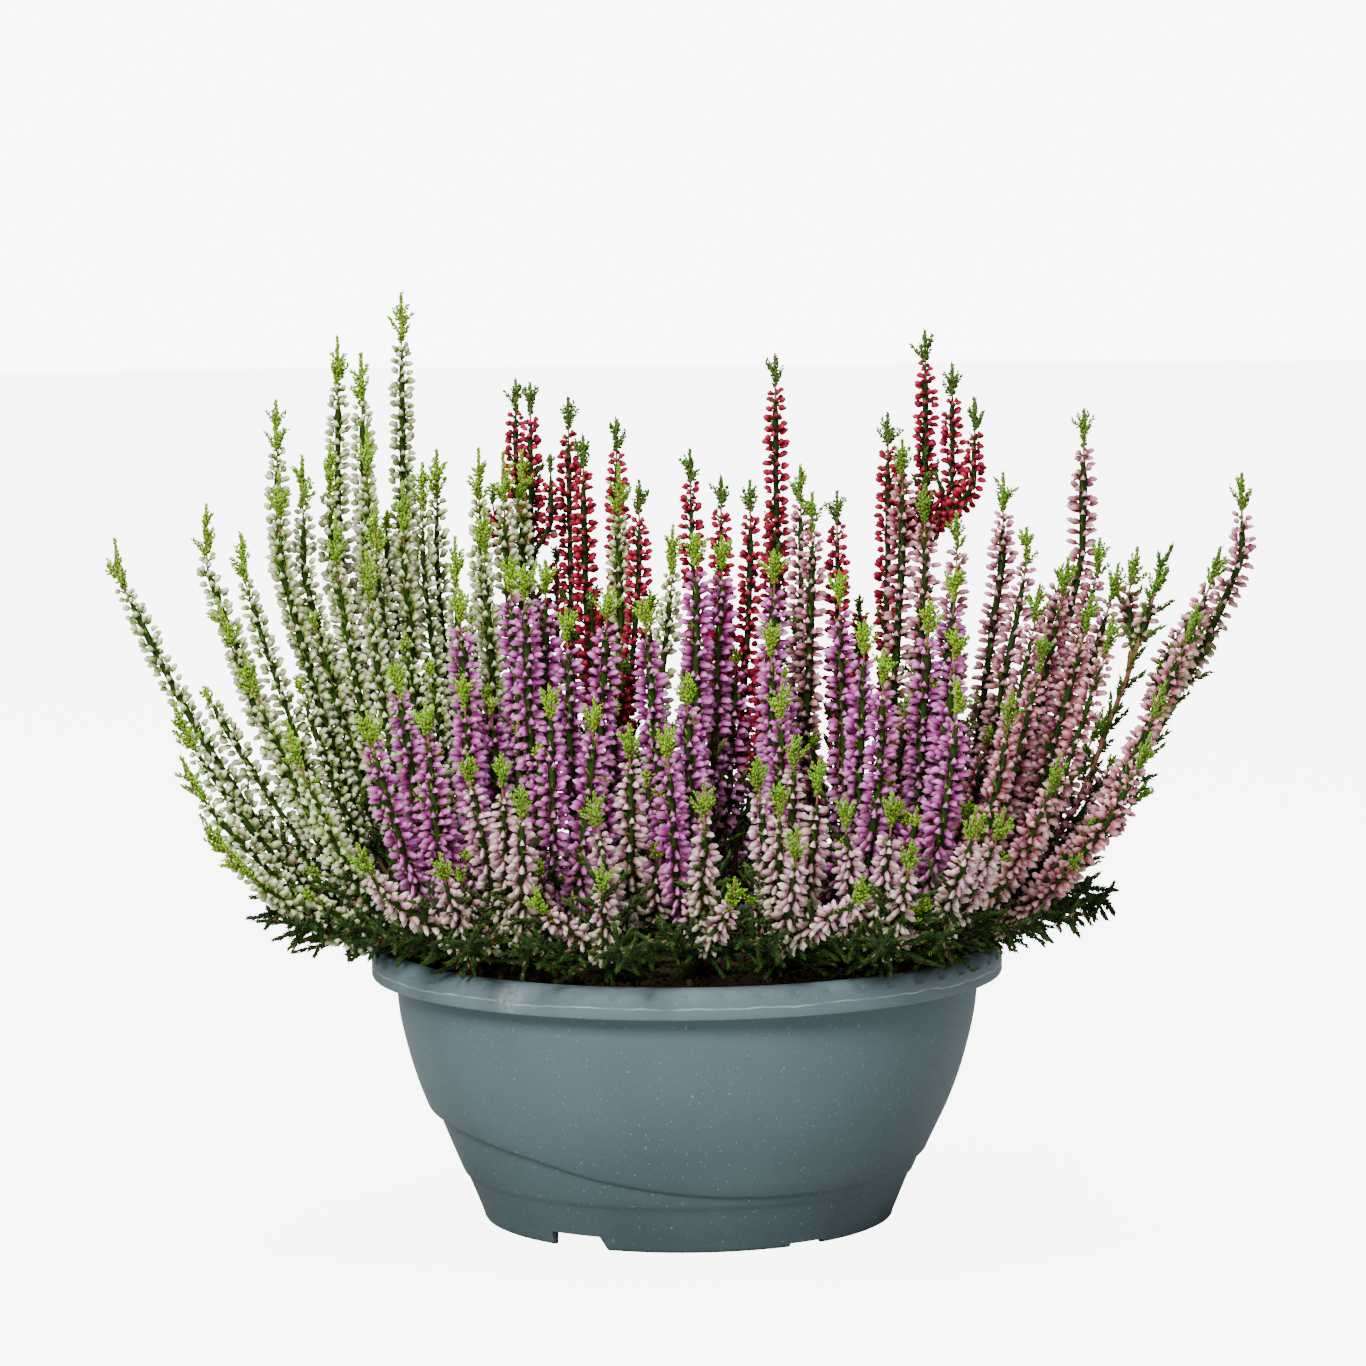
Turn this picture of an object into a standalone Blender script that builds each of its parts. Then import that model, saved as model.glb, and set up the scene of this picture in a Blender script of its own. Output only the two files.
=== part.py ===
"""A pot of flowering heather: a round plastic bowl pot, its soil, and the branches of five kinds of plants.

Lengths in the design are millimetres and become metres where a mesh is made. The origin is the middle of the
pot's foot, on the surface that it stands on, with +Z up. The side that faces -Y is the front.
"""

import math
import random

import bmesh
import bpy
from mathutils import Matrix, Vector

MM = 0.001

# Pot: a turned bowl with a rolled lip. Radii and heights are of the outside.
POT_SIDES = 28
RIM_RADIUS = 125.0
RIM_HEIGHT = 109.0
LIP_BOTTOM = 97.4
FOOT_RADIUS = 81.0
FOOT_RING_INSIDE = 78.0
FOOT_RING_HEIGHT = 7.5
POT_FLOOR = 10.0
FOOT_BAND_TOP = 18.0
WALL_FOOT, WALL_SLOPE, WALL_BULGE, WALL_CURL = 81.8, 0.3675, 0.0024, -0.0000357
UPPER_WALL = [(108.0, 58.0), (113.0, 76.0), (115.0, 97.0)]
INNER_WALL = [(112.4, 86.0), (104.8, 60.0), (95.2, 42.0), (82.3, POT_FLOOR)]
INNER_LIP = (114.2, 106.0)

# The raised upper skin of the wall ends in a slanting wave: its height, by the angle from the front.
WALL_STEP, STEP_HALF, STEP_HOME = 2.4, 0.8, 37.0
STEP_HEIGHTS = [
    (-180, 36.5), (-135, 43.0), (-90, 45.0), (-65, 43.5), (-40, 37.5), (-20, 30.0),
    (4, 24.5), (22, 23.0), (42, 23.3), (66, 26.5), (90, 27.0), (135, 29.5),
]

# Holes in the base plate, and the three-fold notches and shallow gaps of the foot ring
DRAIN_HOLES, DRAIN_SIDES, DRAIN_RADIUS, DRAIN_CIRCLE = 4, 6, 5.0, 52.0
CUTTER_LENGTH = 20.0
NOTCH_ANGLE, NOTCH_WIDTH, NOTCH_HEIGHT = math.radians(-120), 22.0, 5.5
GAP_ANGLE, GAP_WIDTH, GAP_HEIGHT = math.radians(-56), 15.4, 1.5

# Soil
SOIL_TOP, SOIL_RADIUS = 99.0, 113.4
FIT_GAP = 0.5
HOLE_DEPTH = 8.0
STEM_CLEARANCE = 0.4

# The form of the plants: a dome, deepest at its widest height
SPREAD = 245.0
DOME_FRONT, DOME_BACK, DOME_WIDEST, DOME_SLOPE = -143.0, 48.0, 165.0, 0.95
SEED = 7
RACEME_ROOM, ROOT_ROOM = 15.4, 8.0
ROOT_WIDTH, ROOT_CURVE, ROOT_DEPTH_SHARE = 116.0, 2.4, 0.68
LEAN_FROM, LEAN_CURVE = 109.0, 0.6
UPRIGHT_FROM_X, UPRIGHT_FROM_Y = 260.0, 165.0

# Branches at the far side, in two rings: how many, from which angle to which, how far round their shoots
# vary, and the (reach, height) of each one's shoots
BACK_WIDTH, BACK_DEPTH = 205.0, 152.0
BACK_RINGS = [
    (5, 20, 155, 8, [(0.86, 200.0), (0.68, 222.0), (0.98, 168.0), (0.80, 182.0)]),
    (4, 36, 150, 14, [(0.42, 241.0), (0.30, 237.0), (0.55, 229.0), (0.58, 211.0)]),
]

# Shoots
SIDES = 3
TWIST = math.radians(60)
STEM_RADIUS, STEM_TAPER, STEM_PITCH = 1.9, 0.7, 40.0
LOW_FORK, FORK_RISE, FORK_STRETCH = 114.0, 30.0, 5.0
FACES_OUT = 0.6
TIP_LENGTH, TIP_LIFT, TIP_SHARE, TIP_END = 11.0, 2.5, 0.62, 0.5
SHORTEST_FOOT = 26.0

# Low leafy side sprays
SPRAY_EDGE_X, SPRAY_EDGE_Y, SPRAY_HEIGHT = 188.0, 120.0, 115.0
SPRAY_LENGTH, SPRAY_WHORLS, SPRAY_HALF, SPRAY_LIFT = 44.0, 3, 4.0, 3.5
SPRAY_FOOT, SPRAY_END = 2.0, 0.9
SPRAY_RISE, SPRAY_POINTS, SPRAY_ROOM, SPRAYS_EACH = 9.0, 12, 8.6, 2
SPRAY_TURNS = [math.radians(a) for a in (-35, 35, -25, 25, -45, 45, -15, 15, -60, 60, -75, 75, 0)]
SPRAY_APART = math.radians(35)

# Each kind: its flowers' half width, the length of a full raceme, the spacing of its whorls, how far a bud
# points up (or down), and the colour of its flowers.
KINDS = {
    "white": dict(half=4.8, raceme=130, pitch=19.0, lift=3.5, flower=(0.75, 0.78, 0.60)),
    "crimson": dict(half=4.8, raceme=100, pitch=19.0, lift=1.5, flower=(0.36, 0.03, 0.07)),
    "magenta": dict(half=6.4, raceme=105, pitch=19.0, lift=-1.0, flower=(0.56, 0.15, 0.38)),
    "blush": dict(half=6.2, raceme=85, pitch=19.0, lift=-1.0, flower=(0.76, 0.58, 0.58)),
    "pink": dict(half=5.5, raceme=130, pitch=19.0, lift=2.0, flower=(0.66, 0.38, 0.42)),
}
CORE_SHARE, LAST_CORE_SHARE = 0.58, 0.4
PLASTIC = (0.11, 0.17, 0.18)
SOIL = (0.02, 0.014, 0.01)
WOOD = (0.16, 0.07, 0.035)
LEAF = (0.055, 0.105, 0.035)
ZONE_MATERIAL = {"stem": 0, "spray": 1, "tip": 1, "flower": 2}

# The branches of each kind: the places of their shoots' tips, as (sideways, height). A shoot's depth follows
# from its height, because the plants form a dome. A branch forks low down, or at the height that is given.
BRANCHES = {
    "white": [
        [(-222, 271)],
        [(-186, 285), (-172, 274)],
        [(-180, 250), (-196, 211)],
        [(-149, 303), (-160, 324), (-157, 298), (-139, 307)],
        [(-127, 342), (-137, 348), (-112, 365)],
        [(-119, 286), (-124, 314), (-109, 293)],
        [(-135, 281), (-122, 268)],
        [(-97, 304), (-102, 300), (-88, 273)],
        [(-70, 304), (-80, 305), (-77, 285), (-63, 304)],
        [(-25, 299), (-4, 276)],
        [(-151, 206), (-169, 231)],
        [(-183, 171), (-192, 192), (-173, 161)],
    ],
    "crimson": [
        [(-60, 330), (-66, 331)],
        [(-39, 310), (-45, 324), (-26, 316), (-17, 293)],
        [(15, 294), (3, 304), (26, 293)],
        [(37, 340)],
        [(60, 288)],
        [(81, 317)],
        [(97, 349), (107, 336), (115, 323)],
    ],
    "magenta": [
        [(-86, 254), (-84, 223)],
        [(-61, 263), (-53, 264), (-67, 265)],
        [(-45, 247), (-29, 255)],
        [(-51, 220), (-34, 215)],
        [(-110, 228), (-98, 214), (-120, 210)],
        [(1, 224), (-15, 250), (-7, 206)],
        [(5, 274), (15, 272)],
        [(33, 241), (35, 267), (37, 219)],
        [(69, 241), (60, 259), (76, 231)],
        [(104, 239), (94, 248), (105, 259), (104, 220)],
    ],
    "blush": [
        [(-69, 196), (-82, 196), (-61, 186)],
        [(-21, 206), (-34, 183)],
        [(41, 201), (27, 194), (50, 193)],
        [(77, 182), (59, 181)],
        [(108, 176), (119, 174)],
        [(-91, 161), (-122, 164)],
        [(7, 186), (18, 151)],
        [(83, 165), (79, 143), (89, 142)],
        [(-31, 158), (-56, 149)],
        [(35, 186), (41, 171), (65, 152)],
    ],
    "pink": [
        [(46, 298), (50, 288)],
        [(94, 290), (86, 307), (106, 280)],
        [(133, 274), (125, 294), (137, 253)],
        [(158, 318)],
        [(162, 269), (149, 262)],
        [(168, 260), (157, 249), (164, 242)],
        [(185, 261), (177, 265)],
        [(219, 293), (209, 265)],
        [(138, 235), (124, 215), (141, 192)],
        [(184, 216), (198, 244), (177, 198)],
    ],
}
HIGH_FORKS = {(97, 349): 262.0, (185, 261): 220.0, (219, 293): 200.0, (-60, 330): 255.0}


def clear_scene():
    for old in list(bpy.data.objects):
        bpy.data.objects.remove(old, do_unlink=True)


def new_collection(name):
    collection = bpy.data.collections.new(name)
    bpy.context.scene.collection.children.link(collection)
    return collection


def new_material(name, colour, roughness):
    material = bpy.data.materials.new(name)
    material.use_nodes = True
    shader = material.node_tree.nodes["Principled BSDF"]
    shader.inputs["Base Color"].default_value = (*colour, 1)
    shader.inputs["Roughness"].default_value = roughness
    shader.inputs["Metallic"].default_value = 0
    return material


def new_object(name, bm, collection, materials=()):
    """Makes the bmesh, which is in millimetres, an object in metres."""
    bmesh.ops.scale(bm, vec=(MM, MM, MM), verts=bm.verts)
    mesh = bpy.data.meshes.new(name)
    bm.to_mesh(mesh)
    bm.free()
    obj = bpy.data.objects.new(name, mesh)
    collection.objects.link(obj)
    for material in materials:
        mesh.materials.append(material)
    return obj


def shade_round(obj, degrees):
    obj.data.shade_smooth()
    obj.data.set_sharp_from_angle(angle=math.radians(degrees))


def smooth(t):
    """Rises from 0 to 1 with a gentle start and end."""
    t = min(1, max(0, t))
    return t * t * (3 - 2 * t)


# Pot


def turned(profile, sides):
    """Spins (radius, height) points, which start and end on the axis, round Z to a closed mesh."""
    bm = bmesh.new()
    verts = [bm.verts.new((radius, 0, height)) for radius, height in profile]
    edges = [bm.edges.new(pair) for pair in zip(verts, verts[1:])]
    bmesh.ops.spin(
        bm, geom=verts + edges, cent=(0, 0, 0), axis=(0, 0, 1), angle=math.tau, steps=sides, use_merge=True
    )
    bmesh.ops.remove_doubles(bm, verts=bm.verts, dist=0.01)
    bmesh.ops.recalc_face_normals(bm, faces=bm.faces)
    return bm


def step_height(angle):
    """The height of the wall's step at an angle round the pot: a smooth curve through STEP_HEIGHTS."""
    degrees = (math.degrees(angle) + 90 + 180) % 360 - 180
    knots = [(a + lap, height) for lap in (-360, 0, 360) for a, height in STEP_HEIGHTS]
    after = next(i for i, (a, _) in enumerate(knots) if a > degrees)
    (a0, h0), (a1, h1), (a2, h2), (a3, h3) = knots[after - 2 : after + 2]
    t = (degrees - a1) / (a2 - a1)
    leaving = (h2 - h0) / (a2 - a0) * (a2 - a1)
    arriving = (h3 - h1) / (a3 - a1) * (a2 - a1)
    return h1 + (h2 - h1) * smooth(t) + leaving * t * (1 - t) ** 2 - arriving * t**2 * (1 - t)


def wall_radius(height):
    """The pot's outer wall without its raised skin."""
    return WALL_FOOT + WALL_SLOPE * height + WALL_BULGE * height**2 + WALL_CURL * height**3


def pot_profile():
    below, above = STEP_HOME - STEP_HALF, STEP_HOME + STEP_HALF
    foot = [
        (0, FOOT_RING_HEIGHT),
        (FOOT_RING_INSIDE - 0.5, FOOT_RING_HEIGHT),
        (FOOT_RING_INSIDE, 0),
        (FOOT_RADIUS - 1, 0),
        (FOOT_RADIUS + 0.9, 2),
        (wall_radius(FOOT_BAND_TOP) - 1, FOOT_BAND_TOP - 2),
        (wall_radius(FOOT_BAND_TOP + 1), FOOT_BAND_TOP + 1),
    ]
    step = [(wall_radius(below), below), (wall_radius(above) + WALL_STEP, above)]
    lip = [
        (RIM_RADIUS - 0.8, LIP_BOTTOM),
        (RIM_RADIUS, LIP_BOTTOM + 1),
        (RIM_RADIUS, RIM_HEIGHT - 4),
        (RIM_RADIUS - 1.8, RIM_HEIGHT - 1.3),
        (RIM_RADIUS - 5, RIM_HEIGHT),
        (RIM_RADIUS - 8.5, RIM_HEIGHT),
        INNER_LIP,
    ]
    return foot + step + UPPER_WALL + lip + INNER_WALL + [(0, POT_FLOOR)]


def follow_step(bm):
    """Slides the two rings of the wall's step up or down to its wave, and along the wall's taper."""
    for vert in bm.verts:
        radius = math.hypot(vert.co.x, vert.co.y)
        for offset, proud in ((-STEP_HALF, 0), (STEP_HALF, WALL_STEP)):
            home = Vector((wall_radius(STEP_HOME + offset) + proud, STEP_HOME + offset))
            if (Vector((radius, vert.co.z)) - home).length < 0.01:
                height = step_height(math.atan2(vert.co.y, vert.co.x)) + offset
                scale = (wall_radius(height) + proud) / radius
                vert.co = Vector((vert.co.x * scale, vert.co.y * scale, height))
                break


def turn(bm, angle):
    bmesh.ops.rotate(bm, cent=(0, 0, 0), matrix=Matrix.Rotation(angle, 3, "Z"), verts=bm.verts)


def cutter(name, bm, collection):
    obj = new_object(name, bm, collection)
    obj.hide_render = True
    obj.display_type = "WIRE"
    return obj


def cut_with(obj, tool):
    modifier = obj.modifiers.new(tool.name, "BOOLEAN")
    modifier.operation = "DIFFERENCE"
    modifier.object = tool


def foot_cutter(name, angle, width, height, cutters):
    """A box through the foot ring at the angle, as deep below the foot as the cut is high."""
    bm = bmesh.new()
    bmesh.ops.create_cube(bm, size=1)
    bmesh.ops.scale(bm, vec=(CUTTER_LENGTH, width, height * 2), verts=bm.verts)
    bmesh.ops.translate(bm, vec=(FOOT_RADIUS, 0, 0), verts=bm.verts)
    turn(bm, angle)
    return cutter(name, bm, cutters)


def drain_cutter(name, angle, cutters):
    bm = bmesh.new()
    sizes = dict(radius1=DRAIN_RADIUS, radius2=DRAIN_RADIUS, depth=CUTTER_LENGTH)
    bmesh.ops.create_cone(bm, cap_ends=True, segments=DRAIN_SIDES, **sizes)
    bmesh.ops.translate(bm, vec=(DRAIN_CIRCLE, 0, 0), verts=bm.verts)
    turn(bm, angle)
    return cutter(name, bm, cutters)


def make_pot(parts, cutters):
    bm = turned(pot_profile(), POT_SIDES)
    follow_step(bm)
    pot = new_object("pot", bm, parts, [new_material("pot plastic", PLASTIC, 0.45)])
    for third in range(3):
        around = third * math.tau / 3
        cut_with(pot, foot_cutter(f"notch_{third}", NOTCH_ANGLE + around, NOTCH_WIDTH, NOTCH_HEIGHT, cutters))
        cut_with(pot, foot_cutter(f"gap_{third}", GAP_ANGLE + around, GAP_WIDTH, GAP_HEIGHT, cutters))
    for hole in range(DRAIN_HOLES):
        cut_with(pot, drain_cutter(f"drain_{hole}", hole * math.tau / DRAIN_HOLES, cutters))
    shade_round(pot, 35)


# Soil


def stem_holes(branches):
    """A plain three-sided prism round the foot of each branch, with an even gap along its faces."""
    bm = bmesh.new()
    radius = STEM_RADIUS + 2 * STEM_CLEARANCE
    for _, root, _, tips in branches:
        foot = bmesh.ops.create_circle(bm, cap_ends=True, segments=SIDES, radius=radius)["verts"]
        for vert, place in zip(foot, ring_points(root, Vector((0, 0, 1)), first_side(tips), radius, 0)):
            vert.co = place - Vector((0, 0, HOLE_DEPTH))
        made = bmesh.ops.extrude_face_region(bm, geom=[foot[0].link_faces[0]])["geom"]
        top = [item for item in made if isinstance(item, bmesh.types.BMVert)]
        bmesh.ops.translate(bm, vec=(0, 0, HOLE_DEPTH * 2), verts=top)
    bmesh.ops.recalc_face_normals(bm, faces=bm.faces)
    return bm


def make_soil(parts, cutters, branches):
    """The soil, a turned solid that fills the pot, with a plain hole for each branch."""
    side = [(radius - FIT_GAP, height) for radius, height in INNER_WALL]
    side[-1] = (side[-1][0], POT_FLOOR + FIT_GAP)
    profile = [(0, SOIL_TOP), (SOIL_RADIUS - FIT_GAP, SOIL_TOP), *side, (0, POT_FLOOR + FIT_GAP)]
    soil = new_object("soil", turned(profile, POT_SIDES), parts, [new_material("soil", SOIL, 1)])
    cut_with(soil, cutter("holes", stem_holes(branches), cutters))


# Where the branches stand


def depth_of(x, z):
    """How far back a shoot with its tip at x and z stands, on the front of the dome."""
    slope = DOME_SLOPE if z > DOME_WIDEST else -1
    depth = min(DOME_FRONT + slope * (z - DOME_WIDEST), DOME_BACK)
    return depth * math.sqrt(1 - (x / SPREAD) ** 2)


def back_branches():
    """The far side of the dome, by rule: short branches of the kind that grows nearest."""
    draw = random.Random(SEED)
    branches = []
    for count, first, last, swing, shoots in BACK_RINGS:
        for step in range(count):
            azimuth = first + (last - first) * step / (count - 1)
            tips = []
            for reach, height in shoots:
                angle = math.radians(azimuth + draw.uniform(-swing, swing))
                x, y = BACK_WIDTH * reach * math.cos(angle), BACK_DEPTH * reach * math.sin(angle)
                tips.append(Vector((x, y, height + draw.uniform(-6, 6))))
            kind = "pink" if tips[0].x > 70 else "white" if tips[0].x < -70 else "magenta"
            branches.append((kind, LOW_FORK, tips))
    return branches


def root_of(tip):
    """Where a branch leaves the soil: under its tip in the middle, and well inside the pot at the sides."""
    x = tip.x / (1 + (abs(tip.x) / ROOT_WIDTH) ** ROOT_CURVE) ** (1 / ROOT_CURVE)
    y = tip.y * ROOT_DEPTH_SHARE * math.sqrt(1 - (x / (SOIL_RADIUS - 1)) ** 2)
    return Vector((x, y, SOIL_TOP))


def move_apart(places, room, ways):
    """Pushes places that are nearer than the room apart, in the ways that are 1, a little at a time."""
    for _ in range(80):
        for i, a in enumerate(places):
            for b in places[i + 1 :]:
                gap = Vector((b.x - a.x, b.y - a.y, 0))
                if gap.length >= room:
                    continue
                push = gap * ways
                push = push.normalized() if push.length > 0.01 else Vector((0, 1, 0))
                a -= push * (room - gap.length) * 0.3
                b += push * (room - gap.length) * 0.3


def all_branches():
    """[(kind, root, fork height, tips)]. Tips and roots are moved apart until each has its own room."""
    branches = []
    for kind, rows in BRANCHES.items():
        for row in rows:
            tips = [Vector((x, depth_of(x, z), z)) for x, z in row]
            branches.append((kind, HIGH_FORKS.get(row[0], LOW_FORK), tips))
    branches += back_branches()
    move_apart([tip for _, _, tips in branches for tip in tips], RACEME_ROOM, Vector((0, 1, 0)))
    roots = [root_of(tips[0]) for _, _, tips in branches]
    move_apart(roots, ROOT_ROOM, Vector((1, 1, 0)))
    return [(kind, root, fork, tips) for (kind, fork, tips), root in zip(branches, roots)]


# The ways that the shoots take


def stem_at(root, tip, height):
    """The middle of a shoot's stem at the height: up from the soil, out to its place, and up again."""
    place = root.copy()
    for axis, upright_from in ((0, UPRIGHT_FROM_X), (1, UPRIGHT_FROM_Y)):
        full = min(upright_from, tip.z - 4)
        t = min(1, max(0, (height - LEAN_FROM) / (full - LEAN_FROM)))
        place[axis] += (tip[axis] - root[axis]) * t**LEAN_CURVE
    place.z = height
    return place


def shoot_path(root, tip, main, fork):
    """Points up a shoot, 2 mm apart in height. A side shoot starts on the branch's main shoot."""
    start = SOIL_TOP - HOLE_DEPTH + STEM_CLEARANCE if tip is main else fork
    steps = math.ceil((tip.z - start) / 2)
    points = []
    for step in range(steps + 1):
        height = start + (tip.z - start) * step / steps
        own = stem_at(root, tip, height)
        if tip is not main:
            own = stem_at(root, main, height).lerp(own, smooth((height - fork) / FORK_RISE))
        points.append(own)
    return points


def spray_path(root, main, turned_by):
    """A low leafy side spray's way from the stem out over the rim, turned from straight outwards."""
    azimuth = math.atan2(main.y, main.x) + turned_by
    way = Vector((math.cos(azimuth), math.sin(azimuth), 0)) * SPRAY_LENGTH
    start = stem_at(root, main, SPRAY_HEIGHT + FORK_STRETCH / 2)
    shares = [i / SPRAY_POINTS for i in range(SPRAY_POINTS + 1)]
    return [start + way * share + Vector((0, 0, SPRAY_RISE * math.sin(2 * share))) for share in shares]


def low_points(root, fork, tips):
    """Points on a branch's stems up to the height that the sprays reach."""
    paths = [shoot_path(root, tip, tips[0], fork) for tip in tips]
    return [point for path in paths for point in path if point.z < SPRAY_HEIGHT + 4 * SPRAY_RISE]


def clear_of(path, others):
    near = [point for point in others if (point - path[0]).length < SPRAY_LENGTH + SPRAY_ROOM]
    return all((point - own).length > SPRAY_ROOM for own in path[1:] for point in near)


def all_sprays(branches):
    """For each branch, its low sprays. Those at the outside of the plants have some, clear of other stems."""
    low = [low_points(root, fork, tips) for _, root, fork, tips in branches]
    sprays = []
    for i, (_, root, _, tips) in enumerate(branches):
        main, chosen = tips[0], []
        if math.hypot(main.x / SPRAY_EDGE_X, main.y / SPRAY_EDGE_Y) > 1:
            others = [point for points in low[:i] + low[i + 1 :] for point in points]
            for turned_by in SPRAY_TURNS:
                path = spray_path(root, main, turned_by)
                apart = all(abs(turned_by - other) > SPRAY_APART for other, _ in chosen)
                if apart and len(chosen) < SPRAYS_EACH and clear_of(path, others):
                    chosen.append((turned_by, path))
        low[i] += [point for _, path in chosen for point in path]
        sprays.append([path for _, path in chosen])
    return sprays


def along(points, distance):
    """The point at a distance along the path, and the path's direction there."""
    for a, b in zip(points, points[1:]):
        step = (b - a).length
        if distance <= step or b is points[-1]:
            return a.lerp(b, distance / step), (b - a).normalized()
        distance -= step


def length_of(points):
    return sum((b - a).length for a, b in zip(points, points[1:]))


def distance_to(points, height):
    """How far along the path it first reaches the height."""
    return length_of([point for point in points if point.z < height])


# The rings of a shoot: (distance along it, zone of the stretch below, radius)


def foot_marks(path, fork, side_shoots, sprays):
    """How far up the main shoot its first rings lie, and where its forks and its sprays start."""
    feet, forks, low = [distance_to(path, LEAN_FROM)], None, None
    if side_shoots:
        forks = distance_to(path, fork)
        feet += [forks, forks + FORK_STRETCH]
    if sprays:
        apart = not side_shoots or fork > SPRAY_HEIGHT + 2 * FORK_STRETCH
        low = distance_to(path, SPRAY_HEIGHT) if apart else forks + FORK_STRETCH
        feet += [low, low + FORK_STRETCH]
    return sorted(set(feet)), forks, low


def shoot_marks(length, look, feet):
    """The rings of a shoot from its given first ones, by its bare stem and its raceme, to its tip."""
    raceme = min(look["raceme"], length - TIP_LENGTH - feet[-1] - SHORTEST_FOOT)
    whorls = max(2, round(raceme / look["pitch"]))
    start = length - TIP_LENGTH - raceme
    bare = max(1, round((start - feet[-1]) / STEM_PITCH))
    bends = feet + [feet[-1] + (start - feet[-1]) * (i + 1) / bare for i in range(bare)]
    marks = [(bend, "stem", STEM_RADIUS - STEM_TAPER * i / len(bends)) for i, bend in enumerate(bends)]
    for whorl in range(1, whorls + 1):
        radius = look["half"] * (CORE_SHARE if whorl < whorls else LAST_CORE_SHARE)
        marks.append((start + raceme * whorl / whorls, "flower", radius))
    return marks + [(length, "tip", TIP_END)]


def spray_marks(length):
    marks = []
    for whorl in range(1, SPRAY_WHORLS + 1):
        share = whorl / SPRAY_WHORLS
        marks.append((length * share, "spray", SPRAY_FOOT + (SPRAY_END - SPRAY_FOOT) * share))
    return marks


# Growing a branch


def first_side(tips):
    """The way that the first corner of a branch's main stem faces: away from its first side shoot."""
    main = tips[0]
    away = tips[1] - main if len(tips) > 1 else main
    return -away.xy.to_3d().normalized()


def ring_points(point, direction, side, radius, angle):
    """Three places round a point of the path, the first towards the side that is given."""
    across = direction.cross(side).normalized()
    side = across.cross(direction).normalized()
    turns = [angle + math.tau * i / SIDES for i in range(SIDES)]
    return [point + radius * (math.cos(t) * side + math.sin(t) * across) for t in turns]


def next_ring(bm, cap, ring, keep):
    """Extrudes the tube's end. Gives its new end face and the new ring, in the order of the old one."""
    made = bmesh.ops.extrude_face_region(bm, geom=[cap])["geom"]
    end = next(item for item in made if isinstance(item, bmesh.types.BMFace))
    above = set(end.verts)
    ring = [next(edge.other_vert(v) for edge in v.link_edges if edge.other_vert(v) in above) for v in ring]
    if not keep:
        bmesh.ops.delete(bm, geom=[cap], context="FACES_ONLY")
    return end, ring


def grow(bm, cap, ring, path, marks, side, buds, lone=False):
    """Draws a three-sided tube from a face along the path, by extruding its end from mark to mark. Adds the
    walls that carry flowers or leaves to buds, with the tube's own axis, and gives the walls of each stretch."""
    angle, stretches = 0, []
    for i, (distance, zone, radius) in enumerate(marks):
        below = sum((vert.co for vert in ring), Vector()) / SIDES
        point, direction = along(path, distance)
        if zone in ("flower", "tip"):
            angle += TWIST
        cap, ring = next_ring(bm, cap, ring, keep=lone and i == 0)
        walls = [face for edge in cap.edges for face in edge.link_faces if face is not cap]
        for vert, place in zip(ring, ring_points(point, direction, side, radius, angle)):
            vert.co = place
        for wall in walls:
            wall.material_index = ZONE_MATERIAL[zone]
        if zone != "stem":
            buds += [(wall, zone, point, (point - below).normalized()) for wall in walls]
        stretches.append(walls)
    return stretches


def take_wall(bm, walls, out):
    """Halves the wall that faces the way out, and gives one half, its corners (top, right and left) and the
    way that it faces, which is another one where the best walls are taken."""
    bm.normal_update()
    wall = max(walls, key=lambda face: face.normal.dot(out))
    facing = out if wall.normal.dot(out) > FACES_OUT else wall.normal.xy.to_3d().normalized()
    walls.remove(wall)
    halves = bmesh.ops.triangulate(bm, faces=[wall])["faces"]
    half = min(halves, key=lambda face: sum(vert.co.z for vert in face.verts))
    to_left = Vector((-facing.y, facing.x, 0))
    top = max(half.verts, key=lambda vert: vert.co.z)
    right, left = sorted((v for v in half.verts if v is not top), key=lambda vert: vert.co.dot(to_left))
    return half, [top, right, left], facing


def grow_from_wall(bm, walls, path, marks, out, buds, side=None):
    """Draws a side shoot or a spray out of the main shoot's wall. A spray dips, so its first corners face up."""
    half, corners, facing = take_wall(bm, walls, out)
    grow(bm, half, corners, path, marks, side or -facing, buds)


def draw_out(bm, look, wall, zone, top, direction):
    """Pokes a side of the tube and draws its middle out from the shoot's axis, as flowers or leaves."""
    reach, lift = {
        "flower": (look["half"], look["lift"]),
        "tip": (look["half"] * TIP_SHARE, TIP_LIFT),
        "spray": (SPRAY_HALF, SPRAY_LIFT),
    }[zone]
    middle = bmesh.ops.poke(bm, faces=[wall])["verts"][0]
    foot = top + direction * (middle.co - top).dot(direction)
    middle.co = foot + (middle.co - foot).normalized() * reach + direction * lift


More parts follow.
